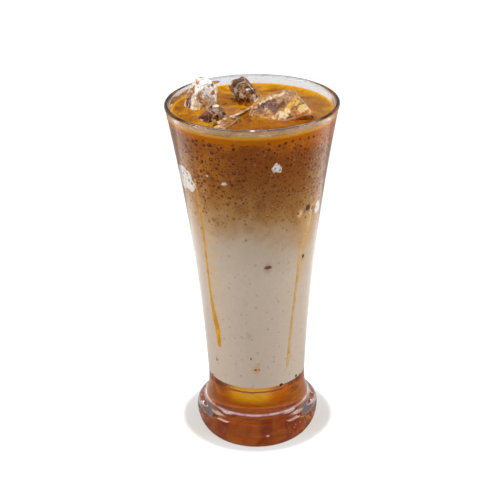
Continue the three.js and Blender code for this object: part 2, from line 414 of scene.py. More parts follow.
@dataclass(frozen=True)
class DrinkShape:
    """Heights of the drink's layers in millimetres, as the CAD source has them."""

    glass: GlassShape
    syrup_top: float = 35.0
    milk_top: float = 137.0
    crema_bottom: float = 173.6
    top: float = 177.0
    meniscus_rise: float = 0.9
    meniscus_width: float = 2.2
    swell_height: float = 0.22
    swirl_height: float = 0.14
    into_wall: float = 0.05

    def wall_radius(self, z: Points | float) -> Points:
        """Radius of the drink's side, which reaches just into the wall so that no air shows between."""
        return self.glass.cavity_radius(z) + self.into_wall

    def against_wall(self, angle: float, z: float, across: Points, up: Points, out: Points) -> Points:
        """Places on the inside of the wall, from how far they lie across, up and out from one point of it.

        Args:
            angle: Degrees of the point from the front.
            z: Its height.
            across: How far each place lies along the wall.
            up: How far it lies above the point.
            out: How far it lies into the glass.

        Returns:
            The places.
        """
        height = z + up
        radius = self.glass.cavity_radius(height)
        turn = math.radians(angle) + across / radius
        return np.column_stack([(radius + out) * np.sin(turn), -(radius + out) * np.cos(turn), height])

    def milk_surface(self, x: Points, y: Points) -> Points:
        """Height at which the milk gives way to the coffee.

        Args:
            x: Places across.
            y: Places in depth.

        Returns:
            The heights.
        """
        around = np.arctan2(x, -y)
        out = np.minimum(1, np.hypot(x, y) / self.glass.cavity_radius(self.milk_top))
        lobes = -6 * np.sin(around) + 1.8 * np.sin(3 * around + 1) + 0.8 * np.sin(7 * around)
        return self.milk_top + out * lobes

    def crema_surface(self, x: Points, y: Points) -> Points:
        """Height of the crema: a meniscus up the wall, slow swells and a shallow swirl.

        Args:
            x: Places across.
            y: Places in depth.

        Returns:
            The heights.
        """
        radius = np.hypot(x, y)
        from_wall = self.glass.cavity_radius(self.top) - radius
        meniscus = self.meniscus_rise * np.exp(-np.maximum(from_wall, 0) / self.meniscus_width)
        swell = self.swell_height * np.sin(x / 5 + 0.6) * np.cos(y / 6.5)
        swirl = self.swirl_height * np.sin(2 * np.arctan2(y, x) + radius / 3.5)
        return self.top + meniscus + (swell + swirl) * np.clip(from_wall / 4, 0, 1)

    def layer(self, lower: Surface, upper: Surface, rings: tuple[int, int, int], sides: int) -> Mesh:
        """A closed layer of drink between two surfaces, out to the wall.

        Args:
            lower: Height of the underside over x and y.
            upper: Height of the top over x and y.
            rings: How many rings the underside, the side and the top have.
            sides: How many steps go round.

        Returns:
            The points and the faces.
        """
        angles = np.arange(sides) * 2 * math.pi / sides
        dx, dy = np.sin(angles), -np.cos(angles)
        nothing = np.zeros(1)
        levels = [surface(nothing, nothing)[0] for surface in (lower, upper)]
        edges = []
        for surface, level in zip((lower, upper), levels):
            radius = self.wall_radius(level)
            edges.append(surface(dx * radius, dy * radius))
        points = [np.array([[0, 0, levels[0]]])]

        def flat(surface: Surface, edge: Points, share: float) -> None:
            """Adds one ring of a surface at a share of the way out.

            Args:
                surface: Height over x and y.
                edge: Its heights at the wall.
                share: 0 in the middle, 1 at the wall.
            """
            radius = self.wall_radius(edge) * share
            x, y = dx * radius, dy * radius
            points.append(np.column_stack([x, y, edge if share == 1 else surface(x, y)]))

        for share in np.linspace(0, 1, rings[0] + 1)[1:]:
            flat(lower, edges[0], share)
        for share in np.linspace(0, 1, rings[1] + 1)[1:-1]:
            z = edges[0] + (edges[1] - edges[0]) * share
            radius = self.wall_radius(z)
            points.append(np.column_stack([dx * radius, dy * radius, z]))
        for share in np.linspace(1, 0, rings[2] + 1)[:-1]:
            flat(upper, edges[1], share)
        points.append(np.array([[0, 0, levels[1]]]))
        return np.vstack(points), ring_faces(sum(rings) - 1, sides)


@lru_cache
def round_cube(steps: int) -> Mesh:
    """Directions through an even grid on a cube's faces, and the faces between them.

    Args:
        steps: How many faces lie along each edge.

    Returns:
        The directions and the faces.
    """
    cube = bmesh.new()
    bmesh.ops.create_cube(cube, size=2)
    bmesh.ops.subdivide_edges(cube, edges=cube.edges[:], cuts=steps - 1, use_grid_fill=True)
    cube.verts.index_update()
    places = np.array([v.co[:] for v in cube.verts])
    faces = [[v.index for v in face.verts] for face in cube.faces]
    cube.free()
    return places / np.linalg.norm(places, axis=1)[:, None], faces


@dataclass(frozen=True)
class IceShape:
    """One melted piece of ice, as the CAD source has it: a rounded box that narrows, with slow hollows."""

    name: str
    half: tuple[float, float, float]
    at: tuple[float, float, float]
    turn: tuple[float, float, float]
    squareness: float
    narrow_up: float
    narrow_back: float
    hollow: float
    phase: float

    def rotation(self) -> Points:
        """The piece's turn as a matrix."""
        about = [Matrix.Rotation(math.radians(t), 3, axis) for t, axis in zip(self.turn, "XYZ")]
        return np.array(about[0] @ about[1] @ about[2])

    def reach(self, directions: Points) -> Points:
        """How far the unscaled piece reaches in each direction.

        Args:
            directions: Unit vectors, one row each.

        Returns:
            The reach in each.
        """
        x, y, z = directions.T
        dents = np.sin(3.1 * x + 2.3 * y + self.phase) * np.cos(2.7 * z - 1.9 * x + 2 * self.phase)
        sums = (np.abs(directions) ** self.squareness).sum(axis=1)
        return (1 + self.hollow * dents) / sums ** (1 / self.squareness)

    def edge_share(self, directions: Points) -> Points:
        """How near places lie to the edges of the box, from 0 on a face to 1 on an edge."""
        ordered = np.sort(np.abs(directions), axis=1)
        return ordered[:, 1] / ordered[:, 2]

    def skin(self, steps: int, grow: float, relief: float) -> Mesh:
        """The piece's closed skin.

        Args:
            steps: How many faces lie along each edge of the box.
            grow: How far the skin is moved out, in millimetres.
            relief: Depth of the small melted facets, in millimetres.

        Returns:
            The points and the faces.
        """
        directions, faces = round_cube(steps)
        unit = directions * self.reach(directions)[:, None]
        up = 1 - self.narrow_up * unit[:, 2]
        back = 1 - self.narrow_back * unit[:, 1]
        points = unit * np.array(self.half)
        points[:, 0] *= up * back
        points[:, 1] *= up
        outward = points / np.linalg.norm(points, axis=1)[:, None]
        amount = np.full(len(points), grow)
        if relief:
            amount = amount + relief * np.array([self.facet(p) for p in points])
        points = points + outward * amount[:, None]
        return points @ self.rotation().T + np.array(self.at), faces

    def facet(self, place: Points) -> float:
        """Relief of the melted facets at a place on the piece, about -1 to 1.

        Args:
            place: A place before the piece is turned.

        Returns:
            The relief.
        """
        here = Vector(place) * 0.22 + Vector((self.phase * 7, self.phase * 3, 0))
        ridge = 1 - 2 * abs(noise.noise(here))
        fine = noise.noise(here * 3.1)
        return 0.75 * (ridge - 0.6) + 0.35 * fine

    def gap(self, places: Points) -> Points:
        """About how far places lie outside the piece, in millimetres, and less than nothing inside it.

        Args:
            places: One row each.

        Returns:
            The distance of each.
        """
        local = (places - np.array(self.at)) @ self.rotation()
        scaled = local / np.array(self.half)
        up = 1 - self.narrow_up * scaled[:, 2]
        scaled[:, 1] /= up
        scaled[:, 0] /= up * (1 - self.narrow_back * scaled[:, 1])
        length = np.maximum(np.linalg.norm(scaled, axis=1), 1e-6)
        share = self.reach(scaled / length[:, None]) / length
        return np.linalg.norm(local, axis=1) * (1 - share)


ICE = (
    IceShape("ice_tall_left", (6.3, 6.5, 14), (-25.6, 6.6, 177.4), (-8, 17, 24), 3.4, 0.1, 0, 0.09, 0.4),
    IceShape("ice_leaning_back", (4.9, 4.8, 11), (-1.4, 15.4, 177.8), (-8, -37, 8), 4.4, -0.02, 0, 0.08, 1.7),
    IceShape("ice_wedge_left", (8, 6.4, 10), (-18.8, -10.6, 174.6), (12, 12, 38), 3, 0.5, 0, 0.1, 2.9),
    IceShape("ice_slab_front", (9, 4.4, 6.5), (-12.2, -20.8, 173.1), (8, -8, 50), 4.5, 0.08, 0, 0.06, 4.1),
    IceShape("ice_large_right", (15.4, 11.2, 10.5), (13.7, -4, 172.8), (28, -15, 6), 7, 0.06, 0.3, 0.05, 5.2),
)


# Colours of the drink, as they look from the side. The light on the wall is dimmer than on a white card, and
# the gain makes up for it.

WALL_GAIN = 1.19
DRINK_STOPS = (
    (0.0, "bfad9b"),
    (0.2, "b4a18d"),
    (0.32, "a98a69"),
    (0.45, "9a6e3c"),
    (0.56, "8a5a2a"),
    (0.7, "7e4812"),
    (0.86, "7c4008"),
    (0.93, "a45804"),
)


# Shader nodes

# The sockets of a Mix node that it uses for colours.
MIX_FACTOR, MIX_A, MIX_B = 0, 6, 7
MIX_COLOUR = 2
ORIGIN = (0.0, 0.0, 0.0)
BLACK = (0.0, 0.0, 0.0)
WHITE = (1.0, 1.0, 1.0)


class Graph:
    """Short calls that add nodes to one shader tree."""

    def __init__(self, tree: Tree) -> None:
        """Keeps the tree that the nodes go to."""
        self.tree = tree

    def add(self, kind: str, **settings: object) -> Node:
        """Adds one node.

        Args:
            kind: The node's type.
            settings: Its properties by name.

        Returns:
            The node.
        """
        node = self.tree.nodes.new(kind)
        for name, value in settings.items():
            setattr(node, name, value)
        return node

    def feed(self, socket: Socket, value: Value) -> None:
        """Links a socket into another, or sets a plain value on it.

        Args:
            socket: The input that is fed.
            value: An output of another node, a number, a vector or a colour.
        """
        if isinstance(value, Socket):
            self.tree.links.new(value, socket)
        elif isinstance(value, (int, float)):
            socket.default_value = value
        else:
            length = len(socket.default_value)
            socket.default_value = (*value, 1.0)[:length] if length == 4 else tuple(value)

    def fill(self, node: Node, **values: Value) -> None:
        """Feeds a node's inputs by name, with _ for a space."""
        for name, value in values.items():
            self.feed(node.inputs[name.replace("_", " ")], value)

    def in_order(self, node: Node, values: Sequence[Value]) -> Node:
        """Feeds a node's first inputs in their order.

        Args:
            node: The node.
            values: What each input gets.

        Returns:
            The same node.
        """
        for socket, value in zip(node.inputs, values):
            self.feed(socket, value)
        return node

    def math(self, operation: str, *values: Value) -> Socket:
        """Result of one Math node."""
        return self.in_order(self.add("ShaderNodeMath", operation=operation), values).outputs[0]

    def times(self, a: Value, b: Value) -> Socket:
        """Product of two values."""
        return self.math("MULTIPLY", a, b)

    def plus(self, a: Value, b: Value) -> Socket:
        """Sum of two values."""
        return self.math("ADD", a, b)

    def minus(self, a: Value, b: Value) -> Socket:
        """First value less the second."""
        return self.math("SUBTRACT", a, b)

    def over(self, a: Value, b: Value) -> Socket:
        """First value divided by the second."""
        return self.math("DIVIDE", a, b)

    def larger(self, a: Value, b: Value) -> Socket:
        """The larger of two values."""
        return self.math("MAXIMUM", a, b)

    def size(self, value: Value) -> Socket:
        """A value without its sign."""
        return self.math("ABSOLUTE", value)

    def vector(self, operation: str, *values: Value) -> Node:
        """One Vector Math node."""
        return self.in_order(self.add("ShaderNodeVectorMath", operation=operation), values)

    def parts(self, where: Value) -> Sequence[Socket]:
        """The three coordinates of a place."""
        return self.in_order(self.add("ShaderNodeSeparateXYZ"), (where,)).outputs[:]

    def mix(self, factor: Value, a: Value, b: Value, blend: str = "MIX") -> Socket:
        """Colour between two others.

        Args:
            factor: 0 for the first colour, 1 for the second.
            a: The first colour.
            b: The second colour.
            blend: How the second is laid on the first.

        Returns:
            The mixed colour.
        """
        node = self.add("ShaderNodeMix", data_type="RGBA", blend_type=blend, clamp_result=False)
        for index, value in ((MIX_FACTOR, factor), (MIX_A, a), (MIX_B, b)):
            self.feed(node.inputs[index], value)
        return node.outputs[MIX_COLOUR]

    def layered(self, colour: Value, *layers: tuple[Value, Value]) -> Socket:
        """Colour with layers on it.

        Args:
            colour: The colour below.
            layers: A mask and a colour for each layer, the last one on top.

        Returns:
            The layered colour.
        """
        for mask, layer in layers:
            colour = self.mix(mask, colour, layer)
        return colour

    def shaded(self, colour: Value, tone: Value) -> Socket:
        """Colour made lighter or darker by a tone about 1."""
        grey = self.in_order(self.add("ShaderNodeCombineColor"), (tone, tone, tone))
        return self.mix(1.0, colour, grey.outputs[0], "MULTIPLY")

    def smooth(self, value: Value, low: float, high: float, to: tuple[float, float] = (0.0, 1.0)) -> Socket:
        """Smooth step from one number to another.

        Args:
            value: What the step follows.
            low: Where it starts.
            high: Where it ends, which may lie below the start.
            to: The numbers at the start and at the end.

        Returns:
            The stepped value.
        """
        node = self.add("ShaderNodeMapRange", interpolation_type="SMOOTHSTEP")
        return self.in_order(node, (value, low, high, *to)).outputs[0]

    def ramp(self, factor: Value, codes: Sequence[tuple[float, str]], gain: float = 1.0) -> Socket:
        """Colour ramp.

        Args:
            factor: Where on the ramp the colour is read, from 0 to 1.
            codes: Place and colour of each stop.
            gain: What the colours are multiplied by.

        Returns:
            The colour.
        """
        node = self.add("ShaderNodeValToRGB")
        elements = node.color_ramp.elements
        while len(elements) < len(codes):
            elements.new(0.5)
        for element, (place, code) in zip(elements, codes):
            element.position = place
            element.color = (*linear(code, gain), 1.0)
        self.feed(node.inputs[0], factor)
        return node.outputs[0]

    def noise(
        self, where: Value, scale: float, detail: float = 2.0, roughness: float = 0.5, distortion: float = 0.0
    ) -> Socket:
        """Soft noise from 0 to 1.

        Args:
            where: Places in millimetres.
            scale: How many waves there are to a millimetre.
            detail: How many finer waves are added.
            roughness: How strong the finer waves are.
            distortion: How far the waves are bent.

        Returns:
            The noise.
        """
        node = self.add("ShaderNodeTexNoise")
        self.fill(node, Vector=where, Scale=scale, Detail=detail, Roughness=roughness, Distortion=distortion)
        return node.outputs[0]

    def place(self, stretch: tuple[float, float, float] = (1.0, 1.0, 1.0)) -> Socket:
        """Place on the piece in millimetres, in the frame, stretched along each axis."""
        here = self.add("ShaderNodeTexCoord").outputs["Object"]
        return self.vector("MULTIPLY", here, tuple(s / MM for s in stretch)).outputs[0]

    def group(self, tree: Tree, **values: Value) -> Node:
        """Places a node group.

        Args:
            tree: The group.
            values: What its inputs get, by name, with _ for a space.

        Returns:
            The group's node.
        """
        node = self.add("ShaderNodeGroup", node_tree=tree)
        self.fill(node, **values)
        return node

    def bump(self, height: Value, distance: float, strength: float = 1.0) -> Socket:
        """Normal of a surface with a relief.

        Args:
            height: The relief from 0 to 1.
            distance: Its whole depth in millimetres.
            strength: How much of it shows.

        Returns:
            The normal.
        """
        node = self.add("ShaderNodeBump")
        self.fill(node, Height=height, Distance=distance * MM, Strength=strength)
        return node.outputs[0]


def new_group(name: str, inputs: dict[str, Value], outputs: dict[str, str]) -> tuple[Graph, dict, Node]:
    """Starts a shader node group with named sockets.

    Args:
        name: The group's name.
        inputs: Each input's name and what it is when nothing feeds it: a number, or three for a vector.
        outputs: Each output's name and socket type.

    Returns:
        Short calls for the tree, its inputs by name and the node that its outputs feed.
    """
    tree = bpy.data.node_groups.new(name, "ShaderNodeTree")
    for label, value in inputs.items():
        kind = "NodeSocketFloat" if isinstance(value, (int, float)) else "NodeSocketVector"
        socket = tree.interface.new_socket(label, in_out="INPUT", socket_type=kind)
        socket.default_value = value
    for label, kind in outputs.items():
        tree.interface.new_socket(label, in_out="OUTPUT", socket_type=kind)
    graph = Graph(tree)
    start = graph.add("NodeGroupInput")
    end = graph.add("NodeGroupOutput")
    return graph, {label: start.outputs[label] for label in inputs}, end


def wall_place_group() -> Tree:
    """Group that turns a place in millimetres into height, angle from the front and radius.

    Returns:
        The group's tree.
    """
    graph, given, end = new_group(
        "WallPlace",
        {"Place": ORIGIN},
        {"Height": "NodeSocketFloat", "Angle": "NodeSocketFloat", "Radius": "NodeSocketFloat"},
    )
    x, y, z = graph.parts(given["Place"])
    around = graph.math("ARCTAN2", x, graph.times(y, -1.0))
    squares = graph.plus(graph.times(x, x), graph.times(y, y))
    graph.fill(end, Height=z, Angle=graph.times(around, 180 / math.pi), Radius=graph.math("SQRT", squares))
    return graph.tree


def oval_group() -> Tree:
    """Group that masks a soft oval, given its middle and half sizes across and up.

    Returns:
        The group's tree.
    """
    inputs = {
        "Across": 0.0,
        "Up": 0.0,
        "Middle Across": 0.0,
        "Middle Up": 0.0,
        "Half Across": 10.0,
        "Half Up": 10.0,
        "Softness": 0.5,
    }
    graph, given, end = new_group("SoftOval", inputs, {"Mask": "NodeSocketFloat"})
    parts = []
    for axis in ("Across", "Up"):
        off = graph.minus(given[axis], given[f"Middle {axis}"])
        share = graph.over(off, given[f"Half {axis}"])
        parts.append(graph.times(share, share))
    reach = graph.math("SQRT", graph.plus(*parts))
    outer = graph.plus(1.0, given["Softness"])
    inner = graph.minus(1.0, given["Softness"])
    graph.fill(end, Mask=graph.smooth(reach, outer, inner))
    return graph.tree


def speckle_group() -> Tree:
    """Group that masks fine round bubbles, some of the cells of a pattern holding one.

    Returns:
        The group's tree.
    """
    inputs = {"Place": ORIGIN, "Spacing": 1.6, "Size": 0.3, "Share": 0.5}
    graph, given, end = new_group(
        "Speckle", inputs, {"Mask": "NodeSocketFloat", "Dome": "NodeSocketFloat"}
    )
    cells = graph.add("ShaderNodeTexVoronoi", feature="F1")
    graph.feed(cells.inputs["Vector"], given["Place"])
    graph.feed(cells.inputs["Scale"], graph.over(1.0, given["Spacing"]))
    split = graph.add("ShaderNodeSeparateColor")
    graph.feed(split.inputs[0], cells.outputs["Color"])
    kept = graph.math("LESS_THAN", split.outputs[0], given["Share"])
    size = graph.times(given["Size"], graph.plus(0.45, split.outputs[1]))
    share = graph.over(cells.outputs["Distance"], size)
    dome = graph.times(kept, graph.smooth(share, 1.0, 0.0))
    graph.fill(end, Dome=dome, Mask=graph.times(kept, graph.smooth(share, 1.0, 0.6)))
    return graph.tree


@dataclass(frozen=True)
class Stain:
    """A soft oval of another colour: degrees and millimetres on the wall, millimetres on the top."""

    across: float
    up: float
    half_across: float
    half_up: float
    colour: str
    amount: float
    softness: float = 0.8


WALL_STAINS = (
    Stain(-58, 138, 13, 26, "bc8a44", 0.6),
    Stain(-40, 158, 18, 16, "a4661e", 0.8),
    Stain(62, 138, 16, 26, "b48a50", 0.8),
    Stain(50, 119, 5, 11, "b4864c", 0.85),
    Stain(-44, 108, 7, 34, "c4a47c", 0.7),
    Stain(52, 112, 8, 20, "c4a070", 0.5),
)
WALL_SPOTS_AND_SHADE = (
    # The first spot is a painted shadow of sunk ice, purple-grey on the milk.
    Stain(12.6, 106.1, 3.4, 2.6, "8f7f80", 0.75, 0.9),
    Stain(52.7, 107.4, 2.2, 2.2, "a88a68", 0.6, 0.9),
    Stain(0.4, 46.4, 4.0, 2.6, "c08a58", 0.7, 0.9),
    Stain(-8.1, 66.8, 3.0, 1.6, "a08a74", 0.6, 0.9),
    Stain(-10.4, 139.6, 4.0, 3.0, "6e4420", 0.6, 0.9),
    Stain(4.9, 141.3, 4.5, 3.0, "6e4420", 0.5, 0.9),
    Stain(3.3, 134.7, 3.5, 2.0, "7c5330", 0.5, 0.9),
    Stain(-4.4, 128.7, 4.0, 2.4, "86603c", 0.5, 0.9),
    Stain(42.0, 132.8, 2.6, 1.8, "d8bc98", 0.8, 0.8),
)


def ball_group() -> Tree:
    """Group that masks a soft ball, given its middle and reach in millimetres.

    Returns:
        The group's tree.
    """
    inputs = {"Place": ORIGIN, "Middle": ORIGIN, "Reach": 1.0}
    graph, given, end = new_group("SoftBall", inputs, {"Mask": "NodeSocketFloat"})
    away = graph.vector("DISTANCE", given["Place"], given["Middle"])
    share = graph.over(away.outputs["Value"], given["Reach"])
    graph.fill(end, Mask=graph.smooth(share, 1.1, 0.75))
    return graph.tree


class Groups:
    """The shader node groups that more than one finish uses, each built once."""

    def __init__(self) -> None:
        """Builds the groups."""
        self.wall_place = wall_place_group()
        self.oval = oval_group()
        self.speckle = speckle_group()
        self.ball = ball_group()
        self.drink_tone = self.drink_tone_group()

    def stained(
        self,
        graph: Graph,
        colour: Socket,
        across: Socket,
        up: Socket,
        ragged: Socket,
        stains: Sequence[Stain],
        gain: float,
    ) -> Socket:
        """Lays stains over a colour.

        Args:
            graph: The tree that the nodes go to.
            colour: The colour below.
            across: The first coordinate of the place.
            up: The second coordinate of the place.
            ragged: A mask that breaks the stains up.
            stains: The stains, the last one on top.
            gain: What their colours are multiplied by.

        Returns:
            The stained colour.
        """
        for stain in stains:
            mask = graph.group(
                self.oval,
                Across=across,
                Up=up,
                Middle_Across=stain.across,
                Middle_Up=stain.up,
                Half_Across=stain.half_across,
                Half_Up=stain.half_up,
                Softness=stain.softness,
            )
            amount = graph.times(mask.outputs[0], graph.times(ragged, stain.amount))
            colour = graph.mix(amount, colour, linear(stain.colour, gain))
        return colour

    def drink_tone_group(self) -> Tree:
        """Group for milk and coffee, which share one colour so that they run into each other.

        Returns:
            The group's tree.
        """
        graph, given, end = new_group(
            "DrinkTone",
            {"Place": ORIGIN},
            {"Colour": "NodeSocketColor", "Relief": "NodeSocketFloat"},
        )
        where = given["Place"]
        place = graph.group(self.wall_place, Place=where)
        height, angle = place.outputs["Height"], place.outputs["Angle"]
        turn = graph.times(angle, math.pi / 180)
        slope = graph.times(graph.math("SINE", turn), 6.0)
        lobe = graph.math("SINE", graph.plus(graph.times(turn, 3.0), 1.0))
        level = graph.plus(height, graph.minus(slope, graph.times(lobe, 1.8)))
        cloud = graph.minus(graph.noise(where, 0.07, 3.0, 0.55, 0.6), 0.5)
        level = graph.plus(level, graph.times(cloud, 22.0))
        share = graph.over(graph.minus(level, 100.0), 80.0)
        colour = graph.ramp(share, DRINK_STOPS, WALL_GAIN)
        ragged = graph.smooth(graph.noise(where, 0.16, 3.0, 0.6, 0.4), 0.3, 0.62)
        colour = self.stained(graph, colour, angle, height, ragged, WALL_STAINS, WALL_GAIN)
        # Spots on the wall, one of them a painted shadow of sunk ice.
        whole = graph.plus(graph.times(ragged, 0.3), 0.7)
        colour = self.stained(graph, colour, angle, height, whole, WALL_SPOTS_AND_SHADE, WALL_GAIN)
        mottle = graph.minus(graph.noise(where, 0.5, 4.0, 0.6), 0.5)
        colour = graph.shaded(colour, graph.plus(1.0, graph.times(mottle, 0.18)))
        froth = graph.group(self.speckle, Place=where, Spacing=1.15, Size=0.38, Share=0.75)
        spots = graph.times(froth.outputs["Mask"], graph.times(graph.smooth(level, 122.0, 146.0), 0.8))
        faint = graph.group(self.speckle, Place=where, Spacing=2.6, Size=0.26, Share=0.4)
        faint_spots = graph.times(faint.outputs["Mask"], 0.35)
        colour = graph.layered(
            colour,
            (spots, linear("6a2e06", WALL_GAIN)),
            (faint_spots, linear("8f7c68", WALL_GAIN)),
        )
        graph.fill(end, Colour=colour, Relief=graph.plus(froth.outputs["Dome"], faint.outputs["Dome"]))
        return graph.tree


# Finishes


def new_material(name: str) -> tuple[Material, Graph, Node, Node]:
    """A material with one Principled shader.

    Args:
        name: The material's name.

    Returns:
        The material, short calls for its tree, the shader and the output node.
    """
    material = bpy.data.materials.new(name)
    material.use_nodes = True
    graph = Graph(material.node_tree)
    graph.tree.nodes.clear()
    shader = graph.add("ShaderNodeBsdfPrincipled")
    output = graph.add("ShaderNodeOutputMaterial")
    graph.tree.links.new(shader.outputs[0], output.inputs["Surface"])
    return material, graph, shader, output


def let_light_through(graph: Graph, shader: Node, output: Node, tint: Colour) -> None:
    """Lets shadow rays and diffuse rays pass a clear piece straight, so that what is inside it is lit.

    Args:
        graph: The material's tree.
        shader: The clear shader that other rays see.
        output: The material's output node.
        tint: What the light that passes is multiplied by at each surface.
    """
    path = graph.add("ShaderNodeLightPath")
    straight = graph.larger(path.outputs["Is Shadow Ray"], path.outputs["Is Diffuse Ray"])
    clear = graph.add("ShaderNodeBsdfTransparent")
    graph.feed(clear.inputs[0], tint)
    mixed = graph.add("ShaderNodeMixShader")
    graph.feed(mixed.inputs[0], straight)
    graph.tree.links.new(shader.outputs[0], mixed.inputs[1])
    graph.tree.links.new(clear.outputs[0], mixed.inputs[2])
    graph.tree.links.new(mixed.outputs[0], output.inputs["Surface"])


@dataclass(frozen=True)
class GlassFinish:
    """Clear polished glass with a mist of condensation towards the rim, painted shade on the lip and on the
    foot, and a painted highlight that glows in the groove above the foot's shoulder.
    """

    refraction: float = 1.5
    mist: float = 0.16
    mist_from: float = 150.0
    mist_full: float = 178.0
    lip_from: float = 179.9
    lip_full: float = 181.2
    back_line: float = 181.1
    foot_top: float = 25.0
    foot_low: float = 12.0
    groove: float = 21.2
    groove_radius: float = 23.2
    lip_shade_colour: Colour = (0.03, 0.03, 0.07)
    foot_shade_tint: Colour = (0.6, 0.47, 0.48)
    low_tint: Colour = (0.88, 0.72, 0.42)
    groove_highlight_colour: Colour = (0.33, 0.36, 0.44)

    def lip(self, graph: Graph, where: Socket, height: Socket) -> Socket:
        """Mask of the painted shade on the lip, which stands in for dark surroundings seen through the rim:
        thinner in front and a fine line at the back.

        Args:
            graph: The material's tree.
            where: Place on the glass.
            height: Height of that place.

        Returns:
            The mask.
        """
        depth = graph.parts(where)[1]
        raised = graph.minus(height, graph.smooth(depth, -12.0, -32.0, (0.0, 0.7)))
        front = graph.smooth(raised, self.lip_from, self.lip_full)
        front = graph.times(front, graph.smooth(depth, 26.0, 10.0))
        line = graph.times(graph.smooth(height, self.back_line, self.back_line + 0.7), 0.8)
        uneven = graph.smooth(graph.noise(where, 0.09, 3.0), 0.3, 0.6, (0.7, 1.0))
        return graph.times(graph.larger(front, line), uneven)

    def glow(self, graph: Graph, where: Socket, height: Socket, radius: Socket) -> Socket:
        """Painted highlight in the groove above the shoulder of the foot, given off as a glow and broken up
        along it.

        Args:
            graph: The material's tree.
            where: Place on the glass.
            height: Height of that place.
            radius: How far that place lies from the axis.

        Returns:
            The colour of the light.
        """
        away = graph.size(graph.minus(height, self.groove))
        outside = graph.smooth(radius, self.groove_radius, self.groove_radius + 0.6)
        broken = graph.smooth(graph.noise(where, 0.25, 4.0, 0.7), 0.32, 0.6, (0.25, 1.0))
        groove = graph.times(graph.times(outside, graph.smooth(away, 0.75, 0.1)), broken)
        return graph.mix(groove, BLACK, self.groove_highlight_colour)

    def material(self, groups: Groups) -> Material:
        """The finish as a material.

        Args:
            groups: The shared node groups.

        Returns:
            The material.
        """
        material, graph, shader, output = new_material("clear_glass")
        where = graph.place()
        place = graph.group(groups.wall_place, Place=where)
        height = place.outputs["Height"]
        cloud = graph.smooth(graph.noise(where, 0.35, 4.0, 0.6), 0.4, 0.7)
        misted = graph.times(graph.smooth(height, self.mist_from, self.mist_full), cloud)
        clear = graph.layered(
            graph.mix(cloud, (0.985, 0.99, 0.99), (0.97, 0.975, 0.98)),
            # Painted shade: the glass of the foot is darkened, standing in for the shaded floor seen through
            # it.
            (graph.smooth(height, self.foot_top, self.foot_top - 6.0), self.foot_shade_tint),
            (graph.smooth(height, self.foot_low, self.foot_low - 5.0), self.low_tint),
            # Painted shade on the lip, for the dark surroundings seen through the rim.
            (self.lip(graph, where, height), self.lip_shade_colour),
        )
        graph.fill(
            shader,
            Transmission_Weight=1.0,
            IOR=self.refraction,
            Roughness=graph.times(misted, self.mist),
            Base_Color=clear,
            # The painted groove highlight is given off as emission.
            Emission_Color=self.glow(graph, where, height, place.outputs["Radius"]),
            Emission_Strength=1.0,
        )
        let_light_through(graph, shader, output, (0.98, 0.98, 0.98))
        return material


@dataclass(frozen=True)
class SyrupFinish:
    """Clear amber syrup that darkens with depth, with a faint painted glow that stands in for the light that
    it scatters.
    """

    refraction: float = 1.42
    depth_colour: Colour = (0.9725, 0.947, 0.0)
    density: float = 600.0
    lit_middle_at: float = -9.0
    line_at: float = 33.6

    def material(self, groups: Groups) -> Material:
        """The finish as a material: a painted pool of light makes it yellow in the middle of the front; it is
        redder at the flanks and in the foot.

        Args:
            groups: The shared node groups.

        Returns:
            The material.
        """
        material, graph, shader, output = new_material("amber_syrup")
        where = graph.place()
        place = graph.group(groups.wall_place, Place=where)
        height, angle = place.outputs["Height"], graph.size(place.outputs["Angle"])
        swirl = graph.smooth(graph.noise(where, 0.11, 3.0, 0.6, 1.2), 0.4, 0.62)
        # Painted light: a pool of bright yellow in the middle of the front, where light shines through the
        # syrup.
        lit_middle = graph.smooth(graph.size(graph.minus(place.outputs["Angle"], self.lit_middle_at)), 36.0, 16.0)
        wavy = graph.plus(height, graph.times(graph.noise(where, 0.12, 2.0), 1.6))
        line = graph.smooth(graph.size(graph.minus(wavy, self.line_at)), 0.75, 0.3)
        line = graph.times(line, graph.smooth(angle, 48.0, 30.0, (0.0, 0.9)))
        flank = graph.times(graph.smooth(angle, 30.0, 52.0), graph.smooth(swirl, 0.1, 0.7))
        low = graph.smooth(height, 17.0, 9.0)
        middle = graph.smooth(height, 29.0, 24.0)
        colour = graph.layered(
            graph.mix(lit_middle, (0.95, 0.62, 0.2), graph.mix(swirl, (1.0, 1.0, 0.8), (0.95, 0.66, 0.3))),
            (line, (0.3, 0.12, 0.04)),
            (flank, (0.62, 0.36, 0.3)),
            (middle, (0.86, 0.5, 0.2)),
            (low, graph.mix(swirl, (1.0, 0.6, 0.2), (0.74, 0.26, 0.06))),
        )
        # Painted glow: emission that stands in for scattered light, brightest in the painted pool of light in
        # the front.
        glow = graph.layered(
            graph.mix(lit_middle, (0.16, 0.035, 0.0), (0.28, 0.16, 0.0)),
            (middle, (0.1, 0.024, 0.0)),
            (low, graph.mix(swirl, (0.09, 0.028, 0.0), (0.03, 0.004, 0.0))),
            (graph.larger(line, flank), (0.05, 0.012, 0.006)),
        )
        graph.fill(
            shader,
            Transmission_Weight=1.0,
            IOR=self.refraction,
            Roughness=0.02,
            Specular_IOR_Level=0.05,
            Base_Color=colour,
            Emission_Color=glow,
            Emission_Strength=1.0,
        )
        absorb = graph.add("ShaderNodeVolumeAbsorption")
        graph.fill(absorb, Color=self.depth_colour, Density=self.density)
        graph.feed(output.inputs["Volume"], absorb.outputs[0])
        let_light_through(graph, shader, output, (0.95, 0.85, 0.6))
        return material


@dataclass(frozen=True)
class DrinkFinish:
    """Opaque milk or milky coffee behind the glass, with fine bubbles."""

    name: str
    roughness: float

    def material(self, groups: Groups) -> Material:
        """The finish as a material.

        Args:
            groups: The shared node groups.

        Returns:
            The material.
        """
        material, graph, shader, _ = new_material(self.name)
        tone = graph.group(groups.drink_tone, Place=graph.place())
        graph.fill(
            shader,
            Base_Color=tone.outputs["Colour"],
            Roughness=self.roughness,
            Specular_IOR_Level=0.1,
            Normal=graph.bump(tone.outputs["Relief"], 0.12),
        )
        return material


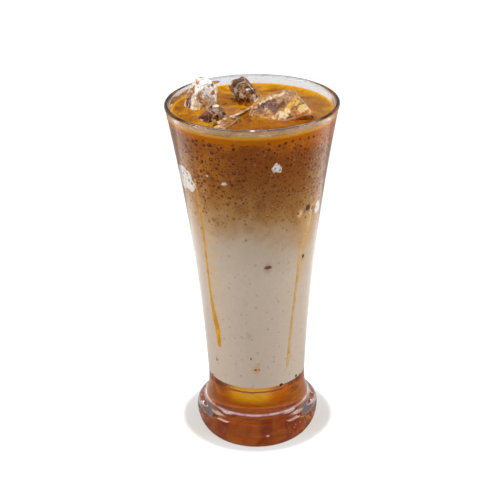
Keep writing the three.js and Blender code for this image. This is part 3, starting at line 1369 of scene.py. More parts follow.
CREMA_GAIN = 0.68
CREMA_STAINS = (
    Stain(27, 14, 7, 6, "a06634", 1.0, 0.35),
    Stain(31, 6, 5.5, 7, "ac723c", 1.0, 0.35),
    Stain(34, -5, 3.5, 5, "c49450", 0.9, 0.5),
    Stain(24, 17, 4, 1.5, "7a4412", 0.9, 0.5),
    Stain(9, 29.5, 10, 1.8, "a05c0c", 1.0, 0.4),
    Stain(14, 22, 7, 1.4, "b08a58", 0.8, 0.6),
    Stain(8, 20, 5, 3, "b07820", 0.8, 0.6),
    Stain(3.5, 31, 3, 1.6, "cca860", 0.7, 0.6),
    Stain(-10.5, 20, 5.5, 4, "ac6004", 1.0, 0.4),
    Stain(-13, 10, 5, 4, "b87010", 0.9, 0.5),
    Stain(-11.5, 2, 5.5, 4.5, "bc9468", 1.0, 0.4),
    Stain(-5.5, 10.8, 1.6, 3.2, "6a2002", 1.0, 0.4),
    Stain(-1.9, 8.4, 2.0, 2.6, "641402", 1.0, 0.4),
    Stain(-36, 3, 2.6, 5, "9a5204", 0.9, 0.6),
    Stain(-32, -8, 5, 5, "a8640c", 0.8, 0.6),
    Stain(-33, 12, 3, 4, "a86c08", 0.8, 0.6),
    Stain(-23.5, -23.5, 5, 3, "ac7c44", 0.8, 0.6),
    Stain(4, -20, 18, 8, "a8600a", 0.95, 0.7),
    Stain(-9, -24, 8, 3, "8c4a08", 0.9, 0.5),
    Stain(10, -27, 14, 4, "843c04", 0.95, 0.6),
    Stain(22, -17, 9, 6, "8c4002", 0.95, 0.7),
    Stain(-2, -9, 3, 6, "7a3406", 0.9, 0.5),
)


@dataclass(frozen=True)
class CremaFinish:
    """Wet golden crema with brown swirls."""

    gold: str = "cc8606"
    bright: str = "dc9e18"
    brown: str = "ac6212"
    dark: str = "7a3c06"
    side: str = "c08420"
    band: str = "a65804"
    side_radius: float = 38.5
    band_top: float = 177.2

    def material(self, groups: Groups) -> Material:
        """The finish as a material.

        Args:
            groups: The shared node groups.

        Returns:
            The material.
        """
        material, graph, shader, _ = new_material("golden_crema")
        where = graph.place()
        x, y, height = graph.parts(where)
        radius = graph.group(groups.wall_place, Place=where).outputs["Radius"]
        gold, bright, brown, dark = (
            linear(code, CREMA_GAIN) for code in (self.gold, self.bright, self.brown, self.dark)
        )
        swirl = graph.noise(where, 0.1, 4.0, 0.55, 1.6)
        colour = graph.mix(graph.smooth(swirl, 0.42, 0.6), gold, bright)
        ragged = graph.smooth(graph.noise(where, 0.2, 4.0, 0.62, 1.2), 0.34, 0.56, (0.45, 1.0))
        colour = groups.stained(graph, colour, x, y, ragged, CREMA_STAINS, CREMA_GAIN)
        inner = graph.smooth(radius, 38.5, 33.0)
        patch = graph.smooth(graph.noise(where, 0.09, 4.0, 0.62, 1.2), 0.45, 0.6, (0.0, 0.75))
        streak = graph.smooth(graph.noise(where, 0.2, 4.0, 0.65, 2.4), 0.54, 0.66, (0.0, 0.85))
        froth = graph.group(groups.speckle, Place=where, Spacing=1.5, Size=0.32, Share=0.4)
        side = graph.smooth(radius, self.side_radius - 0.2, self.side_radius + 0.2)
        band = graph.times(side, graph.smooth(height, self.band_top, self.band_top - 1.2))
        colour = graph.layered(
            colour,
            (graph.times(inner, patch), brown),
            (graph.times(inner, streak), dark),
            (graph.times(froth.outputs["Mask"], 0.5), dark),
            (side, linear(self.side, WALL_GAIN)),
            (band, linear(self.band, WALL_GAIN)),
        )
        relief = graph.plus(froth.outputs["Dome"], graph.times(swirl, 0.8))
        graph.fill(
            shader,
            Base_Color=colour,
            Roughness=0.25,
            Specular_IOR_Level=0.04,
            Specular_Tint=(1.0, 0.75, 0.3),
            Normal=graph.bump(relief, 0.15),
        )
        return material


@dataclass(frozen=True)
class IceFinish:
    """Wet melting ice with a tint where coffee lies on it."""

    name: str
    stain: Colour
    clear: Colour = (0.97, 0.96, 0.94)
    refraction: float = 1.31
    stain_low: float = 0.5
    stain_high: float = 0.62

    def material(self) -> Material:
        """The finish as a material.

        Returns:
            The material.
        """
        material, graph, shader, output = new_material(self.name)
        where = graph.place()
        cloud = graph.noise(where, 0.16, 4.0, 0.6, 0.9)
        mask = graph.smooth(cloud, self.stain_low, self.stain_high)
        crack = graph.add("ShaderNodeTexVoronoi", feature="DISTANCE_TO_EDGE")
        graph.fill(crack, Vector=where, Scale=0.22)
        facet = graph.smooth(crack.outputs["Distance"], 0.0, 0.35)
        relief = graph.plus(graph.times(cloud, 1.4), graph.times(facet, 0.5))
        graph.fill(
            shader,
            Transmission_Weight=1.0,
            IOR=self.refraction,
            Base_Color=graph.mix(mask, self.clear, self.stain),
            Roughness=graph.smooth(cloud, 0.3, 0.8, (0.02, 0.12)),
            Normal=graph.bump(relief, 0.9, 0.8),
        )
        let_light_through(graph, shader, output, (0.95, 0.93, 0.9))
        return material


@dataclass(frozen=True)
class PaintFinish:
    """Opaque thin matter, such as a film of coffee, a run of syrup or a bubble's shell."""

    name: str
    light: str
    dark: str
    gain: float = 1.0
    roughness: float = 0.2
    specular: float = 0.4
    grain: float = 0.4
    bump: float = 0.12

    def material(self) -> Material:
        """The finish as a material.

        Returns:
            The material.
        """
        material, graph, shader, _ = new_material(self.name)
        where = graph.place()
        cloud = graph.smooth(graph.noise(where, self.grain, 4.0, 0.6, 0.8), 0.38, 0.62)
        graph.fill(
            shader,
            Base_Color=graph.mix(cloud, linear(self.light, self.gain), linear(self.dark, self.gain)),
            Roughness=self.roughness,
            Specular_IOR_Level=self.specular,
            Normal=graph.bump(graph.noise(where, self.grain * 3, 3.0), self.bump),
        )
        return material


@dataclass(frozen=True)
class BubbleFinish:
    """Shell of a bubble of foam, dark red-brown in the coffee and paler towards the milk."""

    lowest: float = 120.0
    highest: float = 158.0
    stops: tuple[tuple[float, str], ...] = (
        (0.0, "ac9070"),
        (0.3, "98703e"),
        (0.6, "7c4212"),
        (1.0, "5c2404"),
    )
    lit: str = "a45c14"

    def material(self) -> Material:
        """The finish as a material.

        Returns:
            The material.
        """
        material, graph, shader, _ = new_material("foam_bubble")
        where = graph.place()
        share = graph.over(graph.minus(graph.parts(where)[2], self.lowest), self.highest - self.lowest)
        lit = graph.smooth(graph.noise(where, 0.6, 2.0), 0.5, 0.62, (0.0, 0.6))
        graph.fill(
            shader,
            Base_Color=graph.mix(lit, graph.ramp(share, self.stops), linear(self.lit)),
            Roughness=0.12,
            Specular_IOR_Level=0.3,
        )
        return material


@dataclass(frozen=True)
class FilmFinish:
    """Film of foam and mist on the wall above the drink, thin enough to see through, with fine pale specks
    that are painted glints of tiny drops.
    """

    light: str = "d8bc98"
    dark: str = "b08450"
    ochre: str = "b88848"
    # Fine pale specks: painted glints of tiny drops.
    fine: str = "f6eee2"
    top: float = 181.2

    def material(self, groups: Groups) -> Material:
        """The finish as a material, thickest over the front and patchy at the back on the left.

        Args:
            groups: The shared node groups.

        Returns:
            The material.
        """
        material, graph, shader, _ = new_material("foam_film")
        where = graph.place()
        place = graph.group(groups.wall_place, Place=where)
        height, angle = place.outputs["Height"], place.outputs["Angle"]
        streak = graph.noise(graph.place((0.22, 0.22, 0.8)), 0.7, 4.0, 0.6, 0.9)
        front = graph.smooth(graph.size(angle), 108.0, 84.0)
        colour = graph.mix(graph.smooth(streak, 0.4, 0.6), linear(self.light), linear(self.dark))
        # Painted glints of tiny drops, as fine pale specks.
        fine = graph.group(groups.speckle, Place=where, Spacing=0.8, Size=0.28, Share=0.55)
        colour = graph.layered(
            graph.mix(front, linear(self.ochre), colour),
            (graph.times(fine.outputs["Mask"], 0.5), linear(self.fine)),
        )
        cover = graph.times(front, graph.smooth(streak, 0.36, 0.6, (0.35, 0.65)))
        left = graph.times(graph.smooth(angle, -156.0, -140.0), graph.smooth(angle, -70.0, -96.0))
        patchy = graph.times(left, graph.smooth(streak, 0.4, 0.58, (0.2, 0.85)))
        cover = graph.times(graph.larger(cover, patchy), graph.smooth(height, self.top, self.top - 1.0))
        graph.fill(shader, Base_Color=colour, Alpha=cover, Roughness=0.5, Specular_IOR_Level=0.05)
        return material


@dataclass(frozen=True)
class ClearFinish:
    """A clear drop of water, or a bubble of air in the syrup."""

    name: str
    refraction: float
    colour: Colour = WHITE

    def material(self) -> Material:
        """The finish as a material.

        Returns:
            The material.
        """
        material, graph, shader, output = new_material(self.name)
        grain = graph.smooth(graph.noise(graph.place(), 0.8, 2.0), 0.3, 0.7)
        dimmer = tuple(c * 0.96 for c in self.colour)
        graph.fill(
            shader,
            Transmission_Weight=1.0,
            IOR=self.refraction,
            Base_Color=graph.mix(grain, self.colour, dimmer),
            Roughness=graph.times(grain, 0.04),
        )
        let_light_through(graph, shader, output, (0.99, 0.99, 0.99))
        return material


# Pieces


@dataclass
class Vessel:
    """The footed flared glass."""

    shape: GlassShape
    finish: GlassFinish
    sides: int = 224

    def build(self, groups: Groups) -> None:
        """Builds and dresses the glass."""
        piece = make_object("glass_vessel", lathe(self.shape.outline(), self.sides))
        finish_piece(piece, self.finish.material(groups), Slot.GLASS, "glass")


@dataclass
class Condensation:
    """Fine drops of water on the outside of the glass, most of them near the rim."""

    glass: GlassShape
    count: int = 2600
    lowest: float = 96.0
    highest: float = 180.6
    smallest: float = 0.14
    largest: float = 0.42
    tallest: float = 1.5
    flatness: float = 0.45
    seed: int = 11

    def build(self) -> None:
        """Builds and dresses the drops."""
        draw = np.random.default_rng(self.seed)
        angles = draw.uniform(-180, 180, self.count)
        heights = self.highest - (self.highest - self.lowest) * draw.random(self.count) ** 2.2
        radii = self.smallest + (self.largest - self.smallest) * draw.random(self.count) ** 3
        turn = np.radians(angles)
        out = self.glass.body_radius(heights)
        centres = np.column_stack([out * np.sin(turn), -out * np.cos(turn), heights])
        kept = keep_apart(centres, radii, 1.1)
        axes = self.glass.wall_axes(angles, heights)
        tall = draw.uniform(1, self.tallest, self.count)
        shares = np.column_stack([np.ones(self.count), tall, np.full(self.count, self.flatness)])
        sizes = radii[:, None] * shares
        drops = copies(dome(4, 8), centres[kept], axes[kept], sizes[kept])
        piece = make_object("condensation_drops", drops)
        finish_piece(piece, ClearFinish("water_drop", 1.33).material(), Slot.GLASS)


@dataclass
class SyrupPool:
    """Palm sugar syrup that fills the foot of the cavity, with its bubbles."""

    drink: DrinkShape
    finish: SyrupFinish
    sides: int = 192
    top_rise: float = 0.35
    bubble_count: int = 90
    seed: int = 23
    top_drops: tuple[tuple[float, float, float], ...] = (
        (31.9, 35.3, 0.95),
        (58.0, 36.4, 0.9),
        (67.0, 35.4, 0.6),
        (-42.0, 34.8, 0.4),
        (-70.0, 35.6, 0.6),
        (118.0, 35.2, 0.8),
        (164.0, 35.5, 0.9),
        (-131.0, 35.0, 0.7),
    )

    def build(self, groups: Groups) -> None:
        """Builds and dresses the syrup and what floats in it.

        Args:
            groups: The shared node groups.
        """
        glass = self.drink.glass
        grow = self.drink.into_wall
        top = self.drink.syrup_top + self.top_rise
        floor = [(0.0, glass.floor_z - grow), *glass.floor_outline(grow)]
        wall = [(float(self.drink.wall_radius(z)), z) for z in np.linspace(glass.corner_z, top, 25)[1:]]
        piece = make_object("syrup_pool", lathe([*floor, *wall, (0.0, top)], self.sides))
        finish_piece(piece, self.finish.material(groups), Slot.SYRUP, "palm_sugar_syrup")
        self.bubbles()
        lenses = [WallLens(angle, z, size, size, 0.15, angle, 0.25) for angle, z, size in self.top_drops]
        piece = make_object("syrup_dark_drops", joined([lens.mesh(self.drink) for lens in lenses]))
        dark = PaintFinish("dark_syrup", "5a1c02", "360e00", 1.0, 0.12, 0.2)
        finish_piece(piece, dark.material(), Slot.SYRUP)

    def bubbles(self) -> None:
        """Adds the fine bubbles of air that hang in the syrup."""
        draw = np.random.default_rng(self.seed)
        count = self.bubble_count
        turn = draw.uniform(-math.pi, math.pi, count)
        heights = draw.uniform(5.5, 33.5, count)
        radii = 0.13 + 0.3 * draw.random(count) ** 3
        out = (self.drink.glass.cavity_radius(np.maximum(heights, 8.0)) - 1.6) * draw.random(count) ** 0.35
        centres = np.column_stack([out * np.sin(turn), -out * np.cos(turn), heights])
        kept = keep_apart(centres, radii, 1.2)
        axes = np.broadcast_to(np.eye(3), (count, 3, 3))
        skin = copies(ball(6, 12), centres[kept], axes[kept], np.repeat(radii[kept, None], 3, axis=1))
        piece = make_object("syrup_bubbles", skin)
        finish_piece(piece, ClearFinish("air_in_syrup", 0.7, (0.96, 0.9, 0.8)).material(), Slot.SYRUP)
        self.glints()

    def glints(self) -> None:
        """Adds painted glints just under the outside of the foot: pale opaque beads in one ring and a few
        points, standing in for light caught by bubbles in the glass.
        """
        beads = np.arange(20) * 2 * math.pi / 20
        ring = np.column_stack([0.62 * np.cos(beads), np.zeros(20), 0.5 * np.sin(beads)])
        points = np.array([
            (19.6, -24.2, 13.8),
            (21.9, -22.0, 14.2),
            (18.8, -24.9, 12.6),
            (16.2, -26.0, 10.6),
            (-16.6, -26.0, 11.6),
            (4.0, 30.6, 10.0),
            (-26.0, 16.8, 9.4),
        ])
        centres = np.vstack([ring + np.array([5.1, -30.55, 11.3]), points])
        sizes = np.repeat(np.array([0.16] * 20 + [0.24, 0.3, 0.2, 0.22, 0.2, 0.3, 0.24])[:, None], 3, axis=1)
        axes = np.broadcast_to(np.eye(3), (len(centres), 3, 3))
        piece = make_object("foot_glints", copies(ball(6, 10), centres, axes, sizes))
        bright = PaintFinish("painted_foot_glint", "fff8ee", "d8c0a8", 1.0, 0.2, 0.3)
        finish_piece(piece, bright.material(), Slot.GLASS)


@dataclass(frozen=True)
class WallLens:
    """A thin patch with an uneven edge against the inside of the wall.

    The angle is in degrees from the front, to the right, and the other sizes are in millimetres.
    """

    angle: float
    z: float
    half_width: float
    half_height: float
    ragged: float = 0.2
    phase: float = 0.0
    lift: float = 0.1
    sink: float = 0.5

    def mesh(self, drink: DrinkShape, rings: int = 6, sides: int = 36) -> Mesh:
        """The patch's closed skin.

        Args:
            drink: Sizes of the drink.
            rings: How many rings each side has.
            sides: How many steps go round.

        Returns:
            The points and the faces.
        """
        turn = np.arange(sides) * 2 * math.pi / sides
        waves = sum(
            weight * np.sin(lobes * turn + lobes * self.phase)
            for lobes, weight in ((2, 0.5), (3, 0.4), (5, 0.35), (8, 0.25), (13, 0.15))
        )
        edge = 1 + self.ragged * waves
        across, up = self.half_width * edge * np.cos(turn), self.half_height * edge * np.sin(turn)
        shares = np.linspace(0, 1, rings + 1)
        nothing = np.zeros(1)
        rise = drink.into_wall + self.lift
        rows = [drink.against_wall(self.angle, self.z, nothing, nothing, nothing - self.sink)]
        for share in shares[1:-1]:
            out = -self.sink * (1 - share * share)
            rows.append(drink.against_wall(self.angle, self.z, across * share, up * share, out))
        for share in shares[:0:-1]:
            out = rise * (1 - share**3)
            rows.append(drink.against_wall(self.angle, self.z, across * share, up * share, out))
        rows.append(drink.against_wall(self.angle, self.z, nothing, nothing, nothing + rise))
        return np.vstack(rows), ring_faces(len(rows) - 2, sides)


@dataclass(frozen=True)
class SyrupRun:
    """A run of syrup down the inside of the wall, along the path that the CAD source gives it."""

    name: str
    node: str
    finish: PaintFinish
    path: tuple[tuple[float, float, float], ...]
    lift: float = 0.1
    sink: float = 0.35
    steps: int = 24
    sides: int = 14

    def build(self, drink: DrinkShape) -> None:
        """Builds and dresses the run.

        Args:
            drink: Sizes of the drink.
        """
        line = self.centre_line()
        turn = np.arange(self.sides) * 2 * math.pi / self.sides
        out = np.where(np.cos(turn) > 0, drink.into_wall + self.lift, self.sink) * np.cos(turn)
        nothing = np.zeros(1)
        rows = [drink.against_wall(line[0][0], line[0][1], nothing, nothing, nothing)]
        for angle, z, half in line[1:-1]:
            uneven = 1 + 0.16 * noise.noise(Vector((angle, z * 0.35, 0.0)))
            rows.append(drink.against_wall(angle, z, half * uneven * np.sin(turn), turn * 0, out))
        rows.append(drink.against_wall(line[-1][0], line[-1][1], nothing, nothing, nothing))
        piece = make_object(self.name, (np.vstack(rows), ring_faces(len(rows) - 2, self.sides)))
        finish_piece(piece, self.finish.material(), Slot.SYRUP_RUN, self.node)

    def centre_line(self) -> list[Points]:
        """Angle, height and half width along the run, from its lower end up, with rounded ends.

        Returns:
            A row for each step.
        """
        corners = np.array(self.path[::-1], float)
        padded = np.vstack([2 * corners[0] - corners[1], corners, 2 * corners[-1] - corners[-2]])
        line = []
        for before, start, end, beyond in zip(padded, padded[1:], padded[2:], padded[3:]):
            for share in np.arange(self.steps) / self.steps:
                bend = (2 * before - 5 * start + 4 * end - beyond) * share**2
                twist = (3 * start - before - 3 * end + beyond) * share**3
                line.append(start + 0.5 * ((end - before) * share + bend + twist))
        line.append(corners[-1])
        ends = [corners[0][1], corners[-1][1]]
        for point in line:
            near = min(abs(point[1] - z) for z in ends)
            point[2] *= math.sqrt(max(0.0, 1 - max(0.0, 1 - near / point[2]) ** 2))
        return line


RUNS = (
    SyrupRun(
        "syrup_run_long",
        "syrup_run_left",
        PaintFinish("ochre_syrup", "ce9614", "bc7e02", WALL_GAIN, 0.3, 0.1, 0.25),
        (
            (-50.5, 152, 0.6),
            (-50.8, 134, 0.8),
            (-52.7, 109, 0.8),
            (-53.7, 88, 0.9),
            (-51.5, 74, 1.6),
            (-48.8, 66, 1.9),
            (-48.4, 56, 0.9),
        ),
    ),
    SyrupRun(
        "syrup_run_short",
        "syrup_run_right",
        PaintFinish("pale_ochre_syrup", "c0a27a", "bc904c", WALL_GAIN, 0.3, 0.15, 0.25),
        (
            (56.6, 136, 1),
            (55, 124, 1.6),
            (48.6, 113, 1.4),
            (47, 96, 1),
            (44.4, 74, 1),
            (41.4, 49, 1.1),
            (40.6, 44, 0.8),
        ),
    ),
)


@dataclass
class Pour:
    """Milk, coffee and crema, one closed piece each, which meet with a small overlap."""

    drink: DrinkShape
    ice: Sequence[IceShape]
    sides: int = 256
    milk_above_syrup: float = 0.3
    coffee_into_milk: float = 0.02
    coffee_into_crema: float = 0.2
    crema_above_coffee: float = 0.15
    ice_overlap: float = 0.05
    cutter_steps: int = 28
    froth_count: int = 2600
    seed: int = 31

    def ice_gap(self, x: Points, y: Points) -> Points:
        """How far places on the crema lie from the nearest ice, in millimetres."""
        places = np.column_stack([x, y, np.full(len(x), self.drink.top)])
        return np.min([shape.gap(places) for shape in self.ice], axis=0)

    def crema_top(self, x: Points, y: Points) -> Points:
        """Height of the crema's surface with its fine ripples and where it climbs the ice.

        Args:
            x: Places across.
            y: Places in depth.

        Returns:
            The heights.
        """
        near_wall = np.clip((self.drink.glass.cavity_radius(self.drink.top) - np.hypot(x, y)) / 3, 0, 1)
        climb = 0.55 * np.exp(-np.maximum(self.ice_gap(x, y), 0) / 1.1)
        ripples = np.array([noise.noise(Vector((a * 0.3, b * 0.3, 2.0))) for a, b in zip(x, y)])
        return self.drink.crema_surface(x, y) + near_wall * (0.16 * ripples + climb)

    def cutters(self) -> list[Piece]:
        """The pieces of ice, a little smaller, to cut their places out of the drink."""
        skins = [shape.skin(self.cutter_steps, -self.ice_overlap, 0.0) for shape in self.ice]
        return [make_object(f"cutter_{shape.name}", skin) for shape, skin in zip(self.ice, skins)]

    def cut(self, piece: Piece, cutters: Sequence[Piece]) -> None:
        """Cuts the places of the ice out of a layer.

        Args:
            piece: The layer.
            cutters: What is cut out of it.
        """
        for cutter in cutters:
            modifier = piece.modifiers.new(cutter.name, "BOOLEAN")
            modifier.operation = "DIFFERENCE"
            modifier.solver = "EXACT"
            modifier.object = cutter
        graph = bpy.context.evaluated_depsgraph_get()
        whole = piece.data
        piece.data = bpy.data.meshes.new_from_object(piece.evaluated_get(graph))
        piece.data.name = piece.name
        piece.modifiers.clear()
        bpy.data.meshes.remove(whole)

    def build(self, groups: Groups) -> None:
        """Builds and dresses the three layers and the froth on them.

        Args:
            groups: The shared node groups.
        """
        drink = self.drink
        cutters = self.cutters()
        under_milk = flat_surface(drink.syrup_top + self.milk_above_syrup)
        layer = drink.layer(under_milk, drink.milk_surface, (6, 60, 4), self.sides)
        milk = make_object("milk_body", layer)
        finish_piece(milk, DrinkFinish("milk", 0.5).material(groups), Slot.MILK, "milk")
        layer = drink.layer(
            lambda x, y: drink.milk_surface(x, y) - self.coffee_into_milk,
            flat_surface(drink.crema_bottom + self.coffee_into_crema),
            (4, 24, 8),
            self.sides,
        )
        coffee = make_object("coffee_body", layer)
        self.cut(coffee, cutters)
        finish_piece(coffee, DrinkFinish("coffee", 0.45).material(groups), Slot.COFFEE, "coffee")
        under_crema = flat_surface(drink.crema_bottom + self.crema_above_coffee)
        layer = drink.layer(under_crema, self.crema_top, (4, 6, 96), self.sides)
        crema = make_object("crema_surface", layer)
        self.cut(crema, cutters)
        finish_piece(crema, CremaFinish().material(groups), Slot.CREMA, "crema")
        for cutter in cutters:
            bpy.data.objects.remove(cutter)
        self.froth()

    def froth(self) -> None:
        """Adds the small bubbles that gather on the crema, along the wall and round the ice."""
        draw = np.random.default_rng(self.seed)
        count = self.froth_count
        turn = draw.uniform(-math.pi, math.pi, count)
        edge = self.drink.glass.cavity_radius(self.drink.top) - 0.4
        out = edge * np.sqrt(draw.random(count))
        x, y = out * np.sin(turn), -out * np.cos(turn)
        gap = self.ice_gap(x, y)
        wanted = 0.06 + np.exp(-(edge - out) / 0.8) + np.exp(-np.maximum(gap, 0) / 1.0)
        kept = (draw.random(count) < wanted) & (gap > 0.3)
        radii = 0.14 + 0.36 * draw.random(count) ** 2.5
        centres = np.column_stack([x, y, self.crema_top(x, y)])[kept]
        radii = radii[kept]
        clear = keep_apart(centres, radii, 0.95)
        axes = np.broadcast_to(np.eye(3), (clear.sum(), 3, 3))
        sizes = radii[clear, None] * np.array([1, 1, 0.75])
        piece = make_object("crema_froth", copies(ball(5, 10), centres[clear], axes, sizes))
        finish = PaintFinish("froth", "d0a040", "a86c18", CREMA_GAIN, 0.12, 0.7, 0.3)
        finish_piece(piece, finish.material(), Slot.CREMA)


@dataclass
class WallBubbles:
    """Dark bubbles of coffee foam against the inside of the wall."""

    drink: DrinkShape
    count: int = 9500
    lowest: float = 120.0
    highest: float = 174.5
    smallest: float = 0.24
    largest: float = 0.98
    crowded: tuple[float, float] = (-34, 66)
    crowd_width: float = 24
    seed: int = 5

    def build(self) -> None:
        """Builds and dresses the bubbles."""
        draw = np.random.default_rng(self.seed)
        angles = draw.uniform(-180, 180, self.count)
        heights = draw.uniform(self.lowest, self.highest, self.count)
        radii = self.smallest + (self.largest - self.smallest) * draw.random(self.count) ** 2.0
        left, right = (np.exp(-(((angles - middle) / self.crowd_width) ** 2)) for middle in self.crowded)
        radii *= 1 + 0.35 * np.maximum(left, right)
        spots = zip(np.radians(angles) * 2.2, heights * 0.06)
        crowd = np.array([noise.noise(Vector((across, up, 9.0))) for across, up in spots])
        wanted = np.clip((heights - 126) / 24, 0.04, 1) * np.clip(0.62 + 1.1 * crowd, 0.12, 1)
        wanted = np.maximum(wanted, left * np.clip((heights - 138) / 10, 0, 1))
        wanted = np.maximum(wanted, right * np.clip((heights - 132) / 14, 0, 1))
        kept = draw.random(self.count) < wanted
        turn = np.radians(angles)
        out = self.drink.wall_radius(heights) - 0.12 * radii
        centres = np.column_stack([out * np.sin(turn), -out * np.cos(turn), heights])[kept]
        clear = keep_apart(centres, radii[kept], 1.12)
        axes = self.drink.glass.wall_axes(angles[kept], heights[kept])[clear]
        sizes = radii[kept][clear, None] * np.array([1, 1, 0.5])
        piece = make_object("coffee_bubbles", copies(ball(3, 8), centres[clear], axes, sizes))
        finish_piece(piece, BubbleFinish().material(), Slot.COFFEE)


@dataclass
class WallPatches:
    """What shows against the wall in the milk and the coffee: sunk ice, specks, drops, painted highlights on
    two specks and splashes.
    """

    drink: DrinkShape

    def build(self) -> None:
        """Builds and dresses each kind as one piece."""
        ice = [
            WallLens(17.4, 160.8, 2.5, 3.2, 0.22, 1.0),
            WallLens(-66.0, 150.6, 8.4, 5.2, 0.08, 2.0),
            WallLens(-60.0, 146.8, 5.2, 4.6, 0.08, 0.4, 0.16),
            WallLens(-76.0, 146.2, 6.0, 5.4, 0.08, 1.2, 0.14),
            WallLens(-22.6, 152.5, 1.5, 1.0, 0.25, 3.0),
            WallLens(-36.7, 155.2, 0.8, 0.7, 0.25, 4.0),
            WallLens(68.0, 131.3, 3.6, 3.6, 0.16, 5.0),
            WallLens(142.0, 156.0, 3.4, 4.2, 0.2, 6.0),
            WallLens(-150.0, 140.0, 2.6, 3.0, 0.22, 7.0),
            WallLens(176.0, 126.0, 1.8, 1.5, 0.24, 8.0),
        ]
        finish = PaintFinish("sunk_ice", "dcd4cc", "c0b2a8", 1.12, 0.3, 0.1, 0.35)
        self.kind("sunk_ice", ice, finish, Slot.ICE)
        specks = [
            WallLens(12.6, 106.3, 2.1, 1.1, 0.16, 3.0),
            WallLens(-60.5, 152.5, 1.4, 0.6, 0.3, 4.0, 0.16),
            WallLens(-55.9, 47.7, 0.7, 1.1, 0.3, 5.0),
            WallLens(-6.6, 53.1, 0.4, 0.9, 0.2, 6.0),
            WallLens(0.2, 46.4, 1.5, 0.6, 0.3, 7.0),
            WallLens(124.0, 118.0, 1.2, 0.9, 0.3, 8.0),
            WallLens(-116.0, 92.0, 0.8, 0.8, 0.3, 9.0),
        ]
        finish = PaintFinish("coffee_speck", "8a4408", "562004", 1.2, 0.3, 0.3, 0.9)
        self.kind("coffee_specks", specks, finish, Slot.COFFEE)
        dark = [WallLens(51.0, 134.6, 1.7, 1.9, 0.15, 1.0), WallLens(52.7, 107.4, 1.0, 1.1, 0.25, 2.0)]
        finish = PaintFinish("dark_speck", "542004", "300e02", 1.0, 0.3, 0.1, 0.9)
        self.kind("dark_specks", dark, finish, Slot.COFFEE)
        drops = [
            # The first two drops sit beside dark specks as painted highlights on them.
            WallLens(0.9, 46.4, 0.7, 0.35, 0.2, 1.0, 0.16),
            WallLens(-55.4, 48.2, 0.35, 0.5, 0.2, 2.0, 0.16),
            WallLens(42.0, 133.0, 1.1, 0.5, 0.3, 3.0),
            WallLens(21.5, 92.1, 0.5, 0.35, 0.3, 4.0),
            WallLens(32.4, 87.4, 0.45, 0.35, 0.3, 5.0),
        ]
        finish = PaintFinish("pale_drop_and_speck_highlight", "e0b060", "d8b080", 1.3, 0.3, 0.2, 0.9)
        self.kind("pale_drops_and_speck_highlights", drops, finish, Slot.MILK)
        splashes = [
            WallLens(-24.0, 179.4, 5.6, 0.8, 0.22, 1.0, -0.02, 0.1),
            WallLens(-12.0, 178.7, 3.0, 0.5, 0.22, 2.0, -0.02, 0.1),
            WallLens(-104.0, 179.6, 7.0, 0.9, 0.22, 3.0, -0.02, 0.1),
            WallLens(-128.0, 179.2, 9.0, 0.8, 0.22, 4.0, -0.02, 0.1),
            WallLens(-150.0, 179.9, 5.0, 0.7, 0.22, 5.0, -0.02, 0.1),
            WallLens(48.0, 178.8, 4.0, 0.5, 0.22, 6.0, -0.02, 0.1),
            WallLens(96.0, 179.2, 3.0, 0.6, 0.22, 7.0, -0.02, 0.1),
        ]
        finish = PaintFinish("crema_splash", "c89a50", "a8742c", 1.0, 0.25, 0.3, 0.4)
        self.kind("crema_splashes", splashes, finish, Slot.CREMA)

    def kind(self, name: str, lenses: Sequence[WallLens], finish: PaintFinish, slot: Slot) -> None:
        """Joins the patches of one kind into one piece and dresses it."""
        piece = make_object(name, joined([lens.mesh(self.drink) for lens in lenses]))
        finish_piece(piece, finish.material(), slot)


@dataclass
class WallFilm:
    """Film that foam left on the inside of the wall above the drink."""

    drink: DrinkShape
    first: float = -158.0
    last: float = 112.0
    lowest: float = 177.5
    highest: float = 181.0
    sink: float = 0.08
    steps: int = 182
    sides: int = 16

    def build(self, groups: Groups) -> None:
        """Builds and dresses the film.

        Args:
            groups: The shared node groups.
        """
        turn = np.arange(self.sides) * 2 * math.pi / self.sides
        out = np.where(np.cos(turn) > 0, self.drink.into_wall, self.sink) * np.cos(turn)
        middle = (self.lowest + self.highest) / 2
        up = (self.highest - self.lowest) / 2 * np.sin(turn)
        nothing = np.zeros(1)
        rows = [self.drink.against_wall(self.first, middle, nothing, nothing, nothing)]
        for angle in np.linspace(self.first, self.last, self.steps)[1:-1]:
            rows.append(self.drink.against_wall(angle, middle, turn * 0, up, out))
        rows.append(self.drink.against_wall(self.last, middle, nothing, nothing, nothing))
        faces = [face[::-1] for face in ring_faces(len(rows) - 2, self.sides)]
        piece = make_object("foam_film", (np.vstack(rows), faces))
        finish_piece(piece, FilmFinish().material(groups), Slot.CREMA)


@dataclass(frozen=True)
class IceStain:
    """A soft round patch on the ice, a stain or a painted highlight: its middle on the skin and its reach, in
    millimetres.
    """

    x: float
    y: float
    z: float
    reach: float
    colour: str
    amount: float = 0.9


